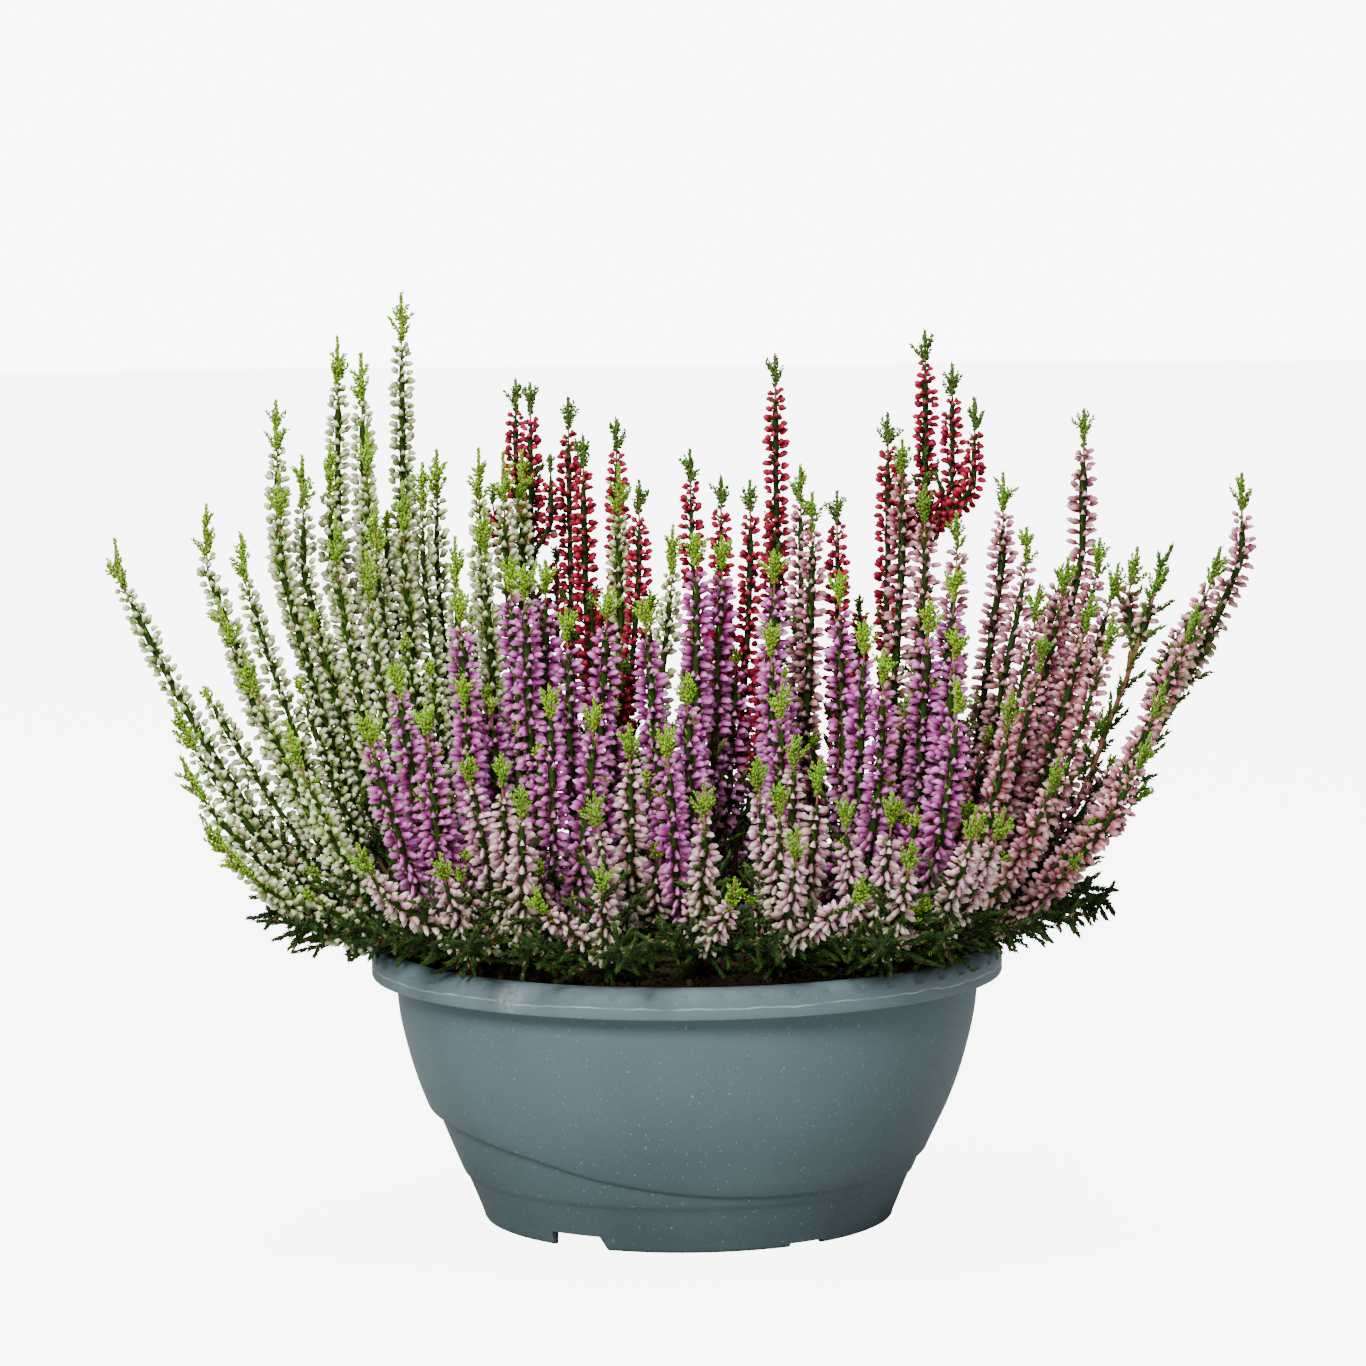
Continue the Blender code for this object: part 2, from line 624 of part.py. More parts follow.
def make_branch(name, kind, root, fork, tips, sprays, parts, materials):
    """One body: the main shoot drawn up from the soil, and each side shoot and spray out of its wall."""
    look, side = KINDS[kind], first_side(tips)
    path = shoot_path(root, tips[0], tips[0], fork)
    feet, forks, low = foot_marks(path, fork, len(tips) > 1, bool(sprays))
    bm, buds = bmesh.new(), []
    ring = bmesh.ops.create_circle(bm, cap_ends=True, segments=SIDES, radius=1)["verts"]
    for vert, place in zip(ring, ring_points(path[0], Vector((0, 0, 1)), side, STEM_RADIUS, 0)):
        vert.co = place
    marks = shoot_marks(length_of(path), look, feet)
    stretches = grow(bm, ring[0].link_faces[0], ring, path, marks, side, buds, lone=True)
    for tip in tips[1:]:
        own, out = shoot_path(root, tip, tips[0], fork), (tip - tips[0]).xy.to_3d().normalized()
        marks = shoot_marks(length_of(own), look, [0])[1:]
        grow_from_wall(bm, stretches[feet.index(forks) + 1], own, marks, out, buds)
    for own in sprays:
        out = (own[-1] - own[0]).xy.to_3d().normalized()
        walls, marks = stretches[feet.index(low) + 1], spray_marks(length_of(own))
        grow_from_wall(bm, walls, own, marks, out, buds, side=Vector((0, 0, 1)))
    for bud in buds:
        draw_out(bm, look, *bud)
    if bm.calc_volume(signed=True) < 0:
        bmesh.ops.reverse_faces(bm, faces=bm.faces)
    shade_round(new_object(name, bm, parts, materials), 30)


def main():
    clear_scene()
    parts = new_collection("potted_heather")
    cutters = new_collection("cutters")
    cutters.hide_render = True
    branches = all_branches()
    make_pot(parts, cutters)
    make_soil(parts, cutters, branches)
    wood, leaf = new_material("wood", WOOD, 0.8), new_material("leaf", LEAF, 0.6)
    flowers = {kind: new_material(kind, look["flower"], 0.55) for kind, look in KINDS.items()}
    counts = dict.fromkeys(KINDS, 0)
    for (kind, root, fork, tips), sprays in zip(branches, all_sprays(branches)):
        counts[kind] += 1
        name = f"{kind}_branch_{counts[kind]:02d}"
        make_branch(name, kind, root, fork, tips, sprays, parts, [wood, leaf, flowers[kind]])


main()
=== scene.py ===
# %% [markdown]
# # Potted heather
# A round plastic bowl pot, planted close with five kinds of flowering heather: greenish white, crimson,
# magenta, blush and pale pink. The solid model gives the frame: each piece made here takes the place of one
# of its pieces and keeps to its form. Plants and pots are sized in millimetres, so that is the unit of the
# tables and of the shapes as they are made. The finished meshes and the studio are in metres.

import math
import random

import bmesh
import bpy
import numpy as np
from mathutils import Matrix, Vector, noise


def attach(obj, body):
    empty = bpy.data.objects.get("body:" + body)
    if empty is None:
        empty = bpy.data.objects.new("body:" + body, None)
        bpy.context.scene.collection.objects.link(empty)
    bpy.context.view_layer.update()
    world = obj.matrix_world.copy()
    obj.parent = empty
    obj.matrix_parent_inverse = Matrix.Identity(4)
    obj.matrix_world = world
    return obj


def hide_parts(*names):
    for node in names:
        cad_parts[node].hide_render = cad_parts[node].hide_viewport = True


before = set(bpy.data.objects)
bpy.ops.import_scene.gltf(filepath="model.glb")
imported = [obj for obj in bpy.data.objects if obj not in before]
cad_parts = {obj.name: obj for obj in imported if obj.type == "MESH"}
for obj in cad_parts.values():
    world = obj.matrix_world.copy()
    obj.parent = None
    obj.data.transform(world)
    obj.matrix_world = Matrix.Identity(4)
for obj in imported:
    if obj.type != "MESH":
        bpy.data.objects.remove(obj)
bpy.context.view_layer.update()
MM = 0.001

# %% [markdown]
# ## Studio
# The camera stands two metres away with a long lens, a little above the plants, so that the rim shows as a
# flat ellipse. Soft light comes from wide lamps in front and above, and a weak one behind. The backdrop is
# bright only where the camera sees it: a world that lit the plants as brightly would fill the dark gaps
# between their shoots.

# %% Camera, floor and light
LOOK_AT = Vector((-0.0006, 0, 0.2118))
CAMERA_DISTANCE, CAMERA_PITCH, CAMERA_ROLL = 2.024, math.radians(5.7), math.radians(-0.5)
LENS_MM, SENSOR_MM = 135, 36


def add_to_scene(obj):
    bpy.context.scene.collection.objects.link(obj)


camera = bpy.data.objects.new("photo camera", bpy.data.cameras.new("photo camera"))
camera.data.lens, camera.data.sensor_width = LENS_MM, SENSOR_MM
away = Vector((0, -math.cos(CAMERA_PITCH), math.sin(CAMERA_PITCH)))
tilt = Matrix.Rotation(math.pi / 2 - CAMERA_PITCH, 4, "X") @ Matrix.Rotation(CAMERA_ROLL, 4, "Z")
camera.matrix_world = Matrix.Translation(LOOK_AT + CAMERA_DISTANCE * away) @ tilt
add_to_scene(camera)
bpy.context.scene.camera = camera

# name: (place, width, watts)
LIGHTS = {
    "front light": ((-0.9, -2.3, 1.7), 0.9, 122),
    "top light": ((0.0, 0.1, 2.3), 1.2, 72),
    "back light": ((-1.2, 1.9, 1.3), 0.9, 18),
}
for name, (place, width, watts) in LIGHTS.items():
    light = bpy.data.objects.new(name, bpy.data.lights.new(name, "AREA"))
    light.data.size, light.data.energy = width, watts
    light.location = place
    light.rotation_euler = (LOOK_AT - light.location).to_track_quat("-Z", "Y").to_euler()
    add_to_scene(light)

WORLD_COLOUR, WORLD_STRENGTH, BACKDROP_STRENGTH = (0.99, 0.99, 1.0, 1), 0.5, 9.0
world = bpy.data.worlds.new("studio")
world.use_nodes = True
sky = world.node_tree.nodes["Background"]
sky.inputs["Color"].default_value = WORLD_COLOUR
seen = world.node_tree.nodes.new("ShaderNodeLightPath").outputs["Is Camera Ray"]
strength = world.node_tree.nodes.new("ShaderNodeMapRange")
strength.inputs["To Min"].default_value = WORLD_STRENGTH
strength.inputs["To Max"].default_value = BACKDROP_STRENGTH
world.node_tree.links.new(seen, strength.inputs["Value"])
world.node_tree.links.new(strength.outputs["Result"], sky.inputs["Strength"])
bpy.context.scene.world = world
print("camera at", camera.matrix_world.translation[:])

# %% [markdown]
# ## Finishes
# All colours are worked out from procedural textures in the object's own coordinates, and from three numbers
# that each small copied part carries: how far along it a point is, a chance number of its own, and how high
# up its shoot it grows. So no two buds have quite the same colour. Short helpers add a node, link what goes
# into it and hand back what comes out.


# %% Node helpers
def add_node(tree, kind, settings=None, **inputs):
    node = tree.nodes.new("ShaderNode" + kind)
    for name, value in (settings or {}).items():
        setattr(node, name, value)
    for name, value in inputs.items():
        socket = node.inputs[name.replace("_", " ")]
        if isinstance(value, bpy.types.NodeSocket):
            tree.links.new(value, socket)
        else:
            socket.default_value = value
    return node


def mix(tree, factor, first, second, blend="MIX"):
    first, second = ((*c, 1) if isinstance(c, tuple) else c for c in (first, second))
    made = add_node(tree, "MixRGB", {"blend_type": blend}, Fac=factor, Color1=first, Color2=second)
    return made.outputs["Color"]


def math_of(tree, operation, first, second):
    node = add_node(tree, "Math", {"operation": operation, "use_clamp": True})
    for socket, value in zip(node.inputs, (first, second)):
        if isinstance(value, bpy.types.NodeSocket):
            tree.links.new(value, socket)
        else:
            socket.default_value = value
    return node.outputs[0]


def times(tree, first, second):
    return math_of(tree, "MULTIPLY", first, second)


def span(tree, value, low, high):
    """0 below low and 1 above high, in between evenly."""
    return add_node(tree, "MapRange", Value=value, From_Min=low, From_Max=high).outputs["Result"]


def place_of(tree):
    return add_node(tree, "TexCoord").outputs["Object"]


def cloud(tree, scale):
    """Noise with features of about 1 / scale metres, stretched to use most of 0 to 1."""
    made = add_node(tree, "TexNoise", Vector=place_of(tree), Scale=scale, Detail=3.0)
    return span(tree, made.outputs["Fac"], 0.3, 0.7)


def flecks(tree, scale, low, high):
    """Sparse spots, where fine noise passes the limits."""
    made = add_node(tree, "TexNoise", Vector=place_of(tree), Scale=scale)
    return span(tree, made.outputs["Fac"], low, high)


def height_of(tree):
    return add_node(tree, "SeparateXYZ", Vector=place_of(tree)).outputs["Z"]


def growth_of(tree):
    """The three numbers that a copied part carries: along it, its own chance, and how high it grows."""
    made = add_node(tree, "Attribute", {"attribute_name": "growth"})
    parts = add_node(tree, "SeparateXYZ", Vector=made.outputs["Vector"]).outputs
    return parts["X"], parts["Y"], parts["Z"]


def new_material(name, roughness, specular):
    material = bpy.data.materials.new(name)
    material.use_nodes = True
    shader = material.node_tree.nodes["Principled BSDF"]
    shader.inputs["Roughness"].default_value = roughness
    shader.inputs["Specular IOR Level"].default_value = specular
    return material, material.node_tree, shader


def finish_with(tree, shader, colour, bump=None, depth=0.0):
    """Gives the shader its colour and, where there is one, the surface a relief of that depth in metres."""
    tree.links.new(colour, shader.inputs["Base Color"])
    if bump is not None:
        relief = add_node(tree, "Bump", Height=bump, Strength=0.8, Distance=depth)
        tree.links.new(relief.outputs["Normal"], shader.inputs["Normal"])


# %% [markdown]
# The pot is moulded plastic of a dull slate blue-green, with fine pale specks and light scuffs. It is painted
# darker low down, as shade, and its lip is painted paler, as light falling on it. The face of its lip has the
# thin uneven line that the mould's joint leaves. The floor has a very faint mottle, and it glows for the
# camera alone, as the backdrop does. Heights in a finish are metres, because Object coordinates are.

# %% Plastic and floor
PLASTIC_IN_PAINTED_SHADE, PLASTIC, PLASTIC_LIGHT = (0.046, 0.070, 0.076), (0.070, 0.108, 0.120), (0.13, 0.18, 0.195)
SPECK_COLOUR, WORN_COLOUR = (0.34, 0.40, 0.39), (0.42, 0.46, 0.44)
# Painted shade on the plastic reaches up to the first height; painted light on the lip spans the other two
SHADE_PAINTED_UP_TO, LIP_LIT_FROM, LIP_LIT_TO = 0.075, 0.094, 0.100
FLASH_HEIGHT, FLASH_HALF, FLASH_WANDER = 0.1024, 0.0004, 0.0012
SCUFF_AT, SCUFF_REACH, SCUFF_MIDDLE = (-0.067, -0.1055, 0.104), 0.009, 0.003
FLOOR_RADIUS, FLOOR_GLOW = 9.0, 7.0


def make_plastic():
    material, tree, shader = new_material("pot plastic", 0.55, 0.1)
    height = height_of(tree)
    # Painted shade: the plastic is made darker towards the foot
    low = span(tree, height, 0.0, SHADE_PAINTED_UP_TO)
    colour = mix(tree, low, PLASTIC_IN_PAINTED_SHADE, PLASTIC)
    colour = mix(tree, times(tree, cloud(tree, 14), 0.25), colour, PLASTIC_LIGHT)
    colour = mix(tree, times(tree, flecks(tree, 900.0, 0.68, 0.74), 0.45), colour, SPECK_COLOUR)
    apart = add_node(tree, "VectorMath", {"operation": "DISTANCE"})
    tree.links.new(place_of(tree), apart.inputs[0])
    apart.inputs[1].default_value = SCUFF_AT
    scuff = times(tree, span(tree, apart.outputs["Value"], SCUFF_REACH, SCUFF_MIDDLE), cloud(tree, 500))
    colour = mix(tree, times(tree, scuff, 0.6), colour, WORN_COLOUR)
    # Painted light: the lip is made paler
    lip = span(tree, height, LIP_LIT_FROM, LIP_LIT_TO)
    colour = mix(tree, times(tree, lip, 0.4), colour, PLASTIC_LIGHT)
    uneven = math_of(tree, "ADD", height, times(tree, cloud(tree, 60), FLASH_WANDER))
    above = math_of(tree, "SUBTRACT", uneven, FLASH_HEIGHT)
    below = math_of(tree, "SUBTRACT", FLASH_HEIGHT, uneven)
    off_line = math_of(tree, "ADD", above, below)
    on_line = math_of(tree, "SUBTRACT", 1.0, span(tree, off_line, FLASH_HALF * 0.4, FLASH_HALF))
    patchy = times(tree, on_line, cloud(tree, 90))
    colour = mix(tree, times(tree, patchy, 0.7), colour, WORN_COLOUR)
    finish_with(tree, shader, colour, cloud(tree, 700), 0.00006)
    return material


def make_floor_finish():
    material, tree, shader = new_material("studio floor", 0.8, 0.0)
    finish_with(tree, shader, mix(tree, cloud(tree, 3), (0.52, 0.52, 0.52), (0.55, 0.55, 0.55)))
    shader.inputs["Emission Color"].default_value = (1, 1, 1, 1)
    seen = add_node(tree, "LightPath").outputs["Is Camera Ray"]
    glow = add_node(tree, "MapRange", Value=seen, To_Min=0.0, To_Max=FLOOR_GLOW).outputs["Result"]
    tree.links.new(glow, shader.inputs["Emission Strength"])
    return material


plastic = make_plastic()
floor_bm = bmesh.new()
bmesh.ops.create_circle(floor_bm, cap_ends=True, segments=96, radius=FLOOR_RADIUS)
floor_mesh = bpy.data.meshes.new("studio floor")
floor_bm.to_mesh(floor_mesh)
floor_bm.free()
floor_mesh.materials.append(make_floor_finish())
studio_floor = bpy.data.objects.new("studio_floor", floor_mesh)
add_to_scene(studio_floor)
print("plastic and floor finished")

# %% [markdown]
# Compost is dark brown peat with a few paler bits of fibre and bark. Heather's stems are red-brown wood,
# darker low down. Its leaves are tiny needles: dull dark green inside the plant, and yellow-green at the
# shoots' new ends. The buds are closed: each is green where it is held and palest at its end. Low on the
# shoot they are greener or faded, and a few have withered.

# %% Compost, wood, leaves and buds
# Each kind: the buds' colour high on the shoot, low on the shoot, and at their ends
BUD_COLOURS = {
    "white": ((0.46, 0.62, 0.14), (0.30, 0.44, 0.09), (1.0, 1.0, 0.86)),
    "crimson": ((0.33, 0.001, 0.020), (0.28, 0.003, 0.022), (0.52, 0.028, 0.08)),
    "magenta": ((0.50, 0.030, 0.36), (0.66, 0.26, 0.46), (0.88, 0.42, 0.78)),
    "blush": ((0.72, 0.30, 0.44), (0.42, 0.54, 0.16), (1.0, 0.97, 0.80)),
    "pink": ((0.52, 0.10, 0.18), (0.34, 0.42, 0.13), (0.94, 0.66, 0.66)),
}
# Each kind: the green of its new growth
GREENS = {
    "white": (0.26, 0.48, 0.025),
    "crimson": (0.085, 0.22, 0.02),
    "magenta": (0.26, 0.50, 0.015),
    "blush": (0.20, 0.42, 0.02),
    "pink": (0.16, 0.36, 0.02),
}
OLD_GREEN = (0.011, 0.036, 0.004)
PEAT_DARK, PEAT = (0.010, 0.006, 0.004), (0.045, 0.027, 0.016)
PEAT_CRUMB, FIBRE = (0.10, 0.060, 0.032), (0.20, 0.13, 0.075)
WOOD_LOW, WOOD_HIGH, WOOD_PALE = (0.055, 0.034, 0.022), (0.19, 0.062, 0.035), (0.26, 0.13, 0.075)
DEAD_LEAF, WITHERED_BUD = (0.20, 0.10, 0.045), (0.24, 0.12, 0.06)


def make_soil_finish():
    material, tree, shader = new_material("compost", 1.0, 0.05)
    _, chance, _ = growth_of(tree)
    colour = mix(tree, cloud(tree, 300), PEAT_DARK, PEAT)
    colour = mix(tree, times(tree, chance, 0.5), colour, PEAT_CRUMB)
    colour = mix(tree, times(tree, flecks(tree, 1400.0, 0.66, 0.72), 0.5), colour, FIBRE)
    finish_with(tree, shader, colour, cloud(tree, 900), 0.0005)
    return material


def make_wood():
    material, tree, shader = new_material("heather wood", 0.8, 0.15)
    colour = mix(tree, span(tree, height_of(tree), 0.10, 0.17), WOOD_LOW, WOOD_HIGH)
    colour = mix(tree, cloud(tree, 420), colour, WOOD_PALE)
    finish_with(tree, shader, colour, cloud(tree, 1500), 0.0002)
    return material


def make_leaf(kind):
    material, tree, shader = new_material(kind + " leaves", 0.65, 0.12)
    along, chance, rise = growth_of(tree)
    colour = mix(tree, times(tree, rise, rise), OLD_GREEN, GREENS[kind])
    lit_ends = times(tree, times(tree, along, rise), 0.6)
    colour = mix(tree, lit_ends, colour, tuple(1.5 * c for c in GREENS[kind]))
    darker = mix(tree, 1.0, colour, (0.40, 0.45, 0.40), "MULTIPLY")
    colour = mix(tree, chance, darker, colour)
    dead = times(tree, span(tree, chance, 0.95, 0.97), math_of(tree, "SUBTRACT", 0.9, rise))
    colour = mix(tree, dead, colour, DEAD_LEAF)
    finish_with(tree, shader, colour, cloud(tree, 1800), 0.0001)
    return material


def make_buds(kind):
    material, tree, shader = new_material(kind + " buds", 0.6, 0.15)
    high, low, ends = BUD_COLOURS[kind]
    along, chance, rise = growth_of(tree)
    colour = mix(tree, span(tree, rise, 0.05, 0.65), low, high)
    colour = mix(tree, times(tree, span(tree, along, 0.35, 1.0), 0.75), colour, ends)
    darker = mix(tree, 1.0, colour, (0.52, 0.44, 0.46), "MULTIPLY")
    colour = mix(tree, chance, darker, colour)
    colour = mix(tree, span(tree, along, 0.25, 0.0), colour, GREENS[kind])
    withered = times(tree, span(tree, chance, 0.04, 0.02), span(tree, rise, 0.5, 0.1))
    colour = mix(tree, withered, colour, WITHERED_BUD)
    finish_with(tree, shader, colour, cloud(tree, 1300), 0.0001)
    return material


compost, wood = make_soil_finish(), make_wood()
leaves = {kind: make_leaf(kind) for kind in GREENS}
buds = {kind: make_buds(kind) for kind in BUD_COLOURS}
print(len(bpy.data.materials), "finishes")

# %% [markdown]
# ## The pot
# A bowl of this kind is injection moulded. Its wall is drawn in towards a standing ring, a raised outer skin
# ends in a slanting wave, and the rolled lip has a row of small dents from the mould. Such a turned shape is
# an outline spun round the axis. It is listed as (radius, height) points only where it follows no rule: the
# wall's long bulge is a formula, and the wave is a smooth curve round the pot.

# %% Shapes of the pot's outline
POT_SIDES = 280
RIM_HEIGHT = 109.0
LIP_BOTTOM = 97.4
FOOT_RADIUS = 81.0
FOOT_RING_HEIGHT = 7.5
POT_FLOOR = 10.0
PLATE_MIDDLE = 40.0
WALL_FOOT, WALL_SLOPE, WALL_BULGE, WALL_CURL = 81.8, 0.3675, 0.0024, -0.0000357
INNER_WALL = [(112.4, 86.0), (104.8, 60.0), (95.2, 42.0), (82.3, POT_FLOOR)]
STEP_HEIGHTS = [
    (-180, 36.5), (-135, 43.0), (-90, 45.0), (-65, 43.5), (-40, 37.5), (-20, 30.0),
    (4, 24.5), (22, 23.0), (42, 23.3), (66, 26.5), (90, 27.0), (135, 29.5),
]
# Half the height of the wave's edge, the height that it is spun at, and the limits of the rings that slide
STEP_HALF, STEP_HOME, WAVE_LOW, WAVE_HIGH = 0.8, 37.0, 20.5, 58.0
FOOT_BAND_LOW, FOOT_BAND_TOP, FOOT_BAND_FADE, FOOT_BAND_IN = 3.0, 17.0, 3.0, 0.9
UPPER_LOW = 62.0
SKIN = [
    (0, 80.5), (10, 86.0), (23, 92.6), (31.7, 96.6), (46.2, 103.5), (60.6, 108.8), (77.5, 113.2),
    (87.1, 114.7), (97.4, 115.3), (110, 115.6), (120, 115.7),
]
LIP = [
    (124.1, 97.4), (124.7, 97.7), (125, 98.4), (125, 100), (125, 101.6), (125, 103.2), (124.9, 104.8),
    (124.6, 106), (124, 107), (123.1, 107.9), (121.8, 108.6), (120, 109), (117.8, 109), (116.3, 108.5),
    (115.2, 107.5), (114.2, 106),
]


def smooth(t):
    """Rises from 0 to 1 with a gentle start and end."""
    t = min(1, max(0, t))
    return t * t * (3 - 2 * t)


def through(knots, x):
    """A smooth curve through (x, value) knots, worked out between two of them from their neighbours."""
    after = next(i for i, (a, _) in enumerate(knots) if a > x)
    (a0, h0), (a1, h1), (a2, h2), (a3, h3) = knots[after - 2 : after + 2]
    t = (x - a1) / (a2 - a1)
    leaving = (h2 - h0) / (a2 - a0) * (a2 - a1)
    arriving = (h3 - h1) / (a3 - a1) * (a2 - a1)
    return h1 + (h2 - h1) * smooth(t) + leaving * t * (1 - t) ** 2 - arriving * t**2 * (1 - t)


def step_height(angle):
    """How high the wave's edge is, at an angle round the pot."""
    degrees = (math.degrees(angle) + 90 + 180) % 360 - 180
    return through([(a + lap, h) for lap in (-360, 0, 360) for a, h in STEP_HEIGHTS], degrees)


def wall_radius(height):
    """The pot's outer wall without its raised skin."""
    return WALL_FOOT + WALL_SLOPE * height + WALL_BULGE * height**2 + WALL_CURL * height**3


def skin_radius(height):
    """The raised outer skin above the wave."""
    return through(SKIN, height)


def even_steps(low, high, count):
    return [low + (high - low) * i / count for i in range(count + 1)]


def pot_outline():
    """(radius, height) points, from the middle of the base plate out, up, over the lip and down inside."""
    ring = [(radius, FOOT_RING_HEIGHT) for radius in (0, PLATE_MIDDLE, 77)] + [(78, FOOT_RING_HEIGHT - 1)]
    ring += [(78.2, 0.5), (78.7, 0), (80.2, 0), (81, 0.4), (81.6, 1.4)]
    band = [(wall_radius(h) - FOOT_BAND_IN, h) for h in even_steps(FOOT_BAND_LOW, FOOT_BAND_TOP, 5)]
    for h in (17.8, 18.6, 19.4):
        faded = smooth((h - FOOT_BAND_TOP) / FOOT_BAND_FADE)
        band.append((wall_radius(h) - FOOT_BAND_IN * (1 - faded), h))
    under = [(wall_radius(h), h) for h in even_steps(WAVE_LOW, STEP_HOME - STEP_HALF, 4)]
    edge = [(skin_radius(STEP_HOME) - share, STEP_HOME + rise) for share, rise in ((0.9, -0.5), (0.3, 0.0))]
    over = [(skin_radius(h), h) for h in even_steps(STEP_HOME + STEP_HALF, WAVE_HIGH, 7)]
    upper = [(skin_radius(h), h) for h in even_steps(UPPER_LOW, LIP_BOTTOM - 0.4, 9)]
    plate = [(PLATE_MIDDLE, POT_FLOOR), (0, POT_FLOOR)]
    return ring + band + under + edge + over + upper + LIP + INNER_WALL + plate


outline = pot_outline()
print(len(outline), "points in the pot's outline")

# %% [markdown]
# The spun bowl is round and plain. Its rings near the wave are slid to it, because a mesh bends cleanly only
# along its own edges, and the dents are points of the lip pressed in. The foot's notches and the drain holes
# cross the rings, so a Boolean cuts them with a mesh of plain cutters.

# %% Spin, wave, dents and cuts
DENTS, DENT_DEPTH, DENT_HALF, DENT_FALL = 56, 1.0, math.radians(1.05), 0.8
LIP_FACE_RADIUS, LIP_FACE_HEIGHT = 122.8, 105.5
SKIN_THICKNESS = 1.5
NOTCH_ANGLE, NOTCH_WIDTH, NOTCH_HEIGHT, NOTCH_SLANT = math.radians(-120.5), 27.0, 5.5, 5.0
GAP_ANGLE, GAP_WIDTH, GAP_HEIGHT = math.radians(-56), 15.4, 1.5
DRAIN_HOLES, DRAIN_RADIUS, DRAIN_CIRCLE = 4, 5.0, 52.0
CUTTER_REACH, SHARP_FROM_DEGREES = 20, 38


def spun(profile, sides):
    """Spins (radius, height) points, which start and end on the axis, round Z to a closed mesh."""
    bm = bmesh.new()
    verts = [bm.verts.new((radius, 0, height)) for radius, height in profile]
    edges = [bm.edges.new(pair) for pair in zip(verts, verts[1:])]
    around = dict(cent=(0, 0, 0), axis=(0, 0, 1), angle=math.tau, steps=sides, use_merge=True)
    bmesh.ops.spin(bm, geom=verts + edges, **around)
    bmesh.ops.remove_doubles(bm, verts=bm.verts, dist=0.01)
    bmesh.ops.recalc_face_normals(bm, faces=bm.faces)
    return bm


def slide_to_wave(bm):
    """The outside rings between the foot band and the upper wall share the room above and below the wave."""
    low, high = STEP_HOME - STEP_HALF, STEP_HOME + STEP_HALF
    for vert in bm.verts:
        radius, height = math.hypot(vert.co.x, vert.co.y), vert.co.z
        if not WAVE_LOW < height < WAVE_HIGH or radius < wall_radius(height) - SKIN_THICKNESS:
            continue
        wave = step_height(math.atan2(vert.co.y, vert.co.x))
        if height <= low + 0.01:
            share = (height - WAVE_LOW) / (low - WAVE_LOW)
            height = WAVE_LOW + (wave - STEP_HALF - WAVE_LOW) * share
            wanted = wall_radius(height)
        elif height < high - 0.01:
            height += wave - STEP_HOME
            wanted = skin_radius(height) - (skin_radius(STEP_HOME) - radius)
        else:
            share = (height - high) / (WAVE_HIGH - high)
            height = wave + STEP_HALF + (WAVE_HIGH - wave - STEP_HALF) * share
            wanted = skin_radius(height)
        vert.co = Vector((vert.co.x * wanted / radius, vert.co.y * wanted / radius, height))


def press_dents(bm):
    """Presses the lip's face in, most at the middle of each dent."""
    for vert in bm.verts:
        radius = math.hypot(vert.co.x, vert.co.y)
        if radius < LIP_FACE_RADIUS or vert.co.z < LIP_FACE_HEIGHT:
            continue
        pitch = math.tau / DENTS
        off = (math.atan2(vert.co.y, vert.co.x) + pitch / 2) % pitch - pitch / 2
        depth = DENT_DEPTH * max(0, 1 - abs(off) / DENT_HALF)
        vert.co -= Vector((vert.co.x / radius, vert.co.y / radius, DENT_FALL)) * depth


def turn(bm, verts, angle):
    bmesh.ops.rotate(bm, cent=(0, 0, 0), matrix=Matrix.Rotation(angle, 3, "Z"), verts=verts)


def pot_cutters():
    """One mesh of separate bodies: the feet's notches, with one slanting side, the low gaps and the holes."""
    bm = bmesh.new()
    for third in range(3):
        for angle, width, height, slant in (
            (NOTCH_ANGLE, NOTCH_WIDTH, NOTCH_HEIGHT, NOTCH_SLANT), (GAP_ANGLE, GAP_WIDTH, GAP_HEIGHT, 0)
        ):
            verts = bmesh.ops.create_cube(bm, size=1)["verts"]
            bmesh.ops.scale(bm, vec=(CUTTER_REACH, width, height * 2), verts=verts)
            for vert in verts:
                if vert.co.z > 0 and vert.co.y > 0:
                    vert.co.y -= slant
            bmesh.ops.translate(bm, vec=(FOOT_RADIUS, 0, 0), verts=verts)
            turn(bm, verts, angle + third * math.tau / 3)
    for hole in range(DRAIN_HOLES):
        sizes = dict(segments=24, radius1=DRAIN_RADIUS, radius2=DRAIN_RADIUS, depth=CUTTER_REACH)
        verts = bmesh.ops.create_cone(bm, cap_ends=True, **sizes)["verts"]
        bmesh.ops.translate(bm, vec=(DRAIN_CIRCLE, 0, 0), verts=verts)
        turn(bm, verts, hole * math.tau / DRAIN_HOLES)
    return bm


def new_object(name, bm, materials=()):
    """Makes the bmesh, which is in millimetres, an object in metres."""
    bmesh.ops.scale(bm, vec=(MM, MM, MM), verts=bm.verts)
    mesh = bpy.data.meshes.new(name)
    bm.to_mesh(mesh)
    bm.free()
    for material in materials:
        mesh.materials.append(material)
    obj = bpy.data.objects.new(name, mesh)
    add_to_scene(obj)
    return obj


def shade_round(obj, degrees):
    obj.data.shade_smooth()
    obj.data.set_sharp_from_angle(angle=math.radians(degrees))


pot_bm = spun(outline, POT_SIDES)
slide_to_wave(pot_bm)
press_dents(pot_bm)
pot = new_object("moulded_pot", pot_bm, [plastic])
cutter = new_object("pot_cutters", pot_cutters())
cut = pot.modifiers.new("cuts", "BOOLEAN")
cut.operation, cut.object = "DIFFERENCE", cutter
cut_mesh = bpy.data.meshes.new_from_object(pot.evaluated_get(bpy.context.evaluated_depsgraph_get()))
pot.modifiers.clear()
pot.data = cut_mesh
bpy.data.objects.remove(cutter)
shade_round(pot, SHARP_FROM_DEGREES)
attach(pot, "root")
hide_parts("pot")
print("pot:", len(pot.data.polygons), "faces")

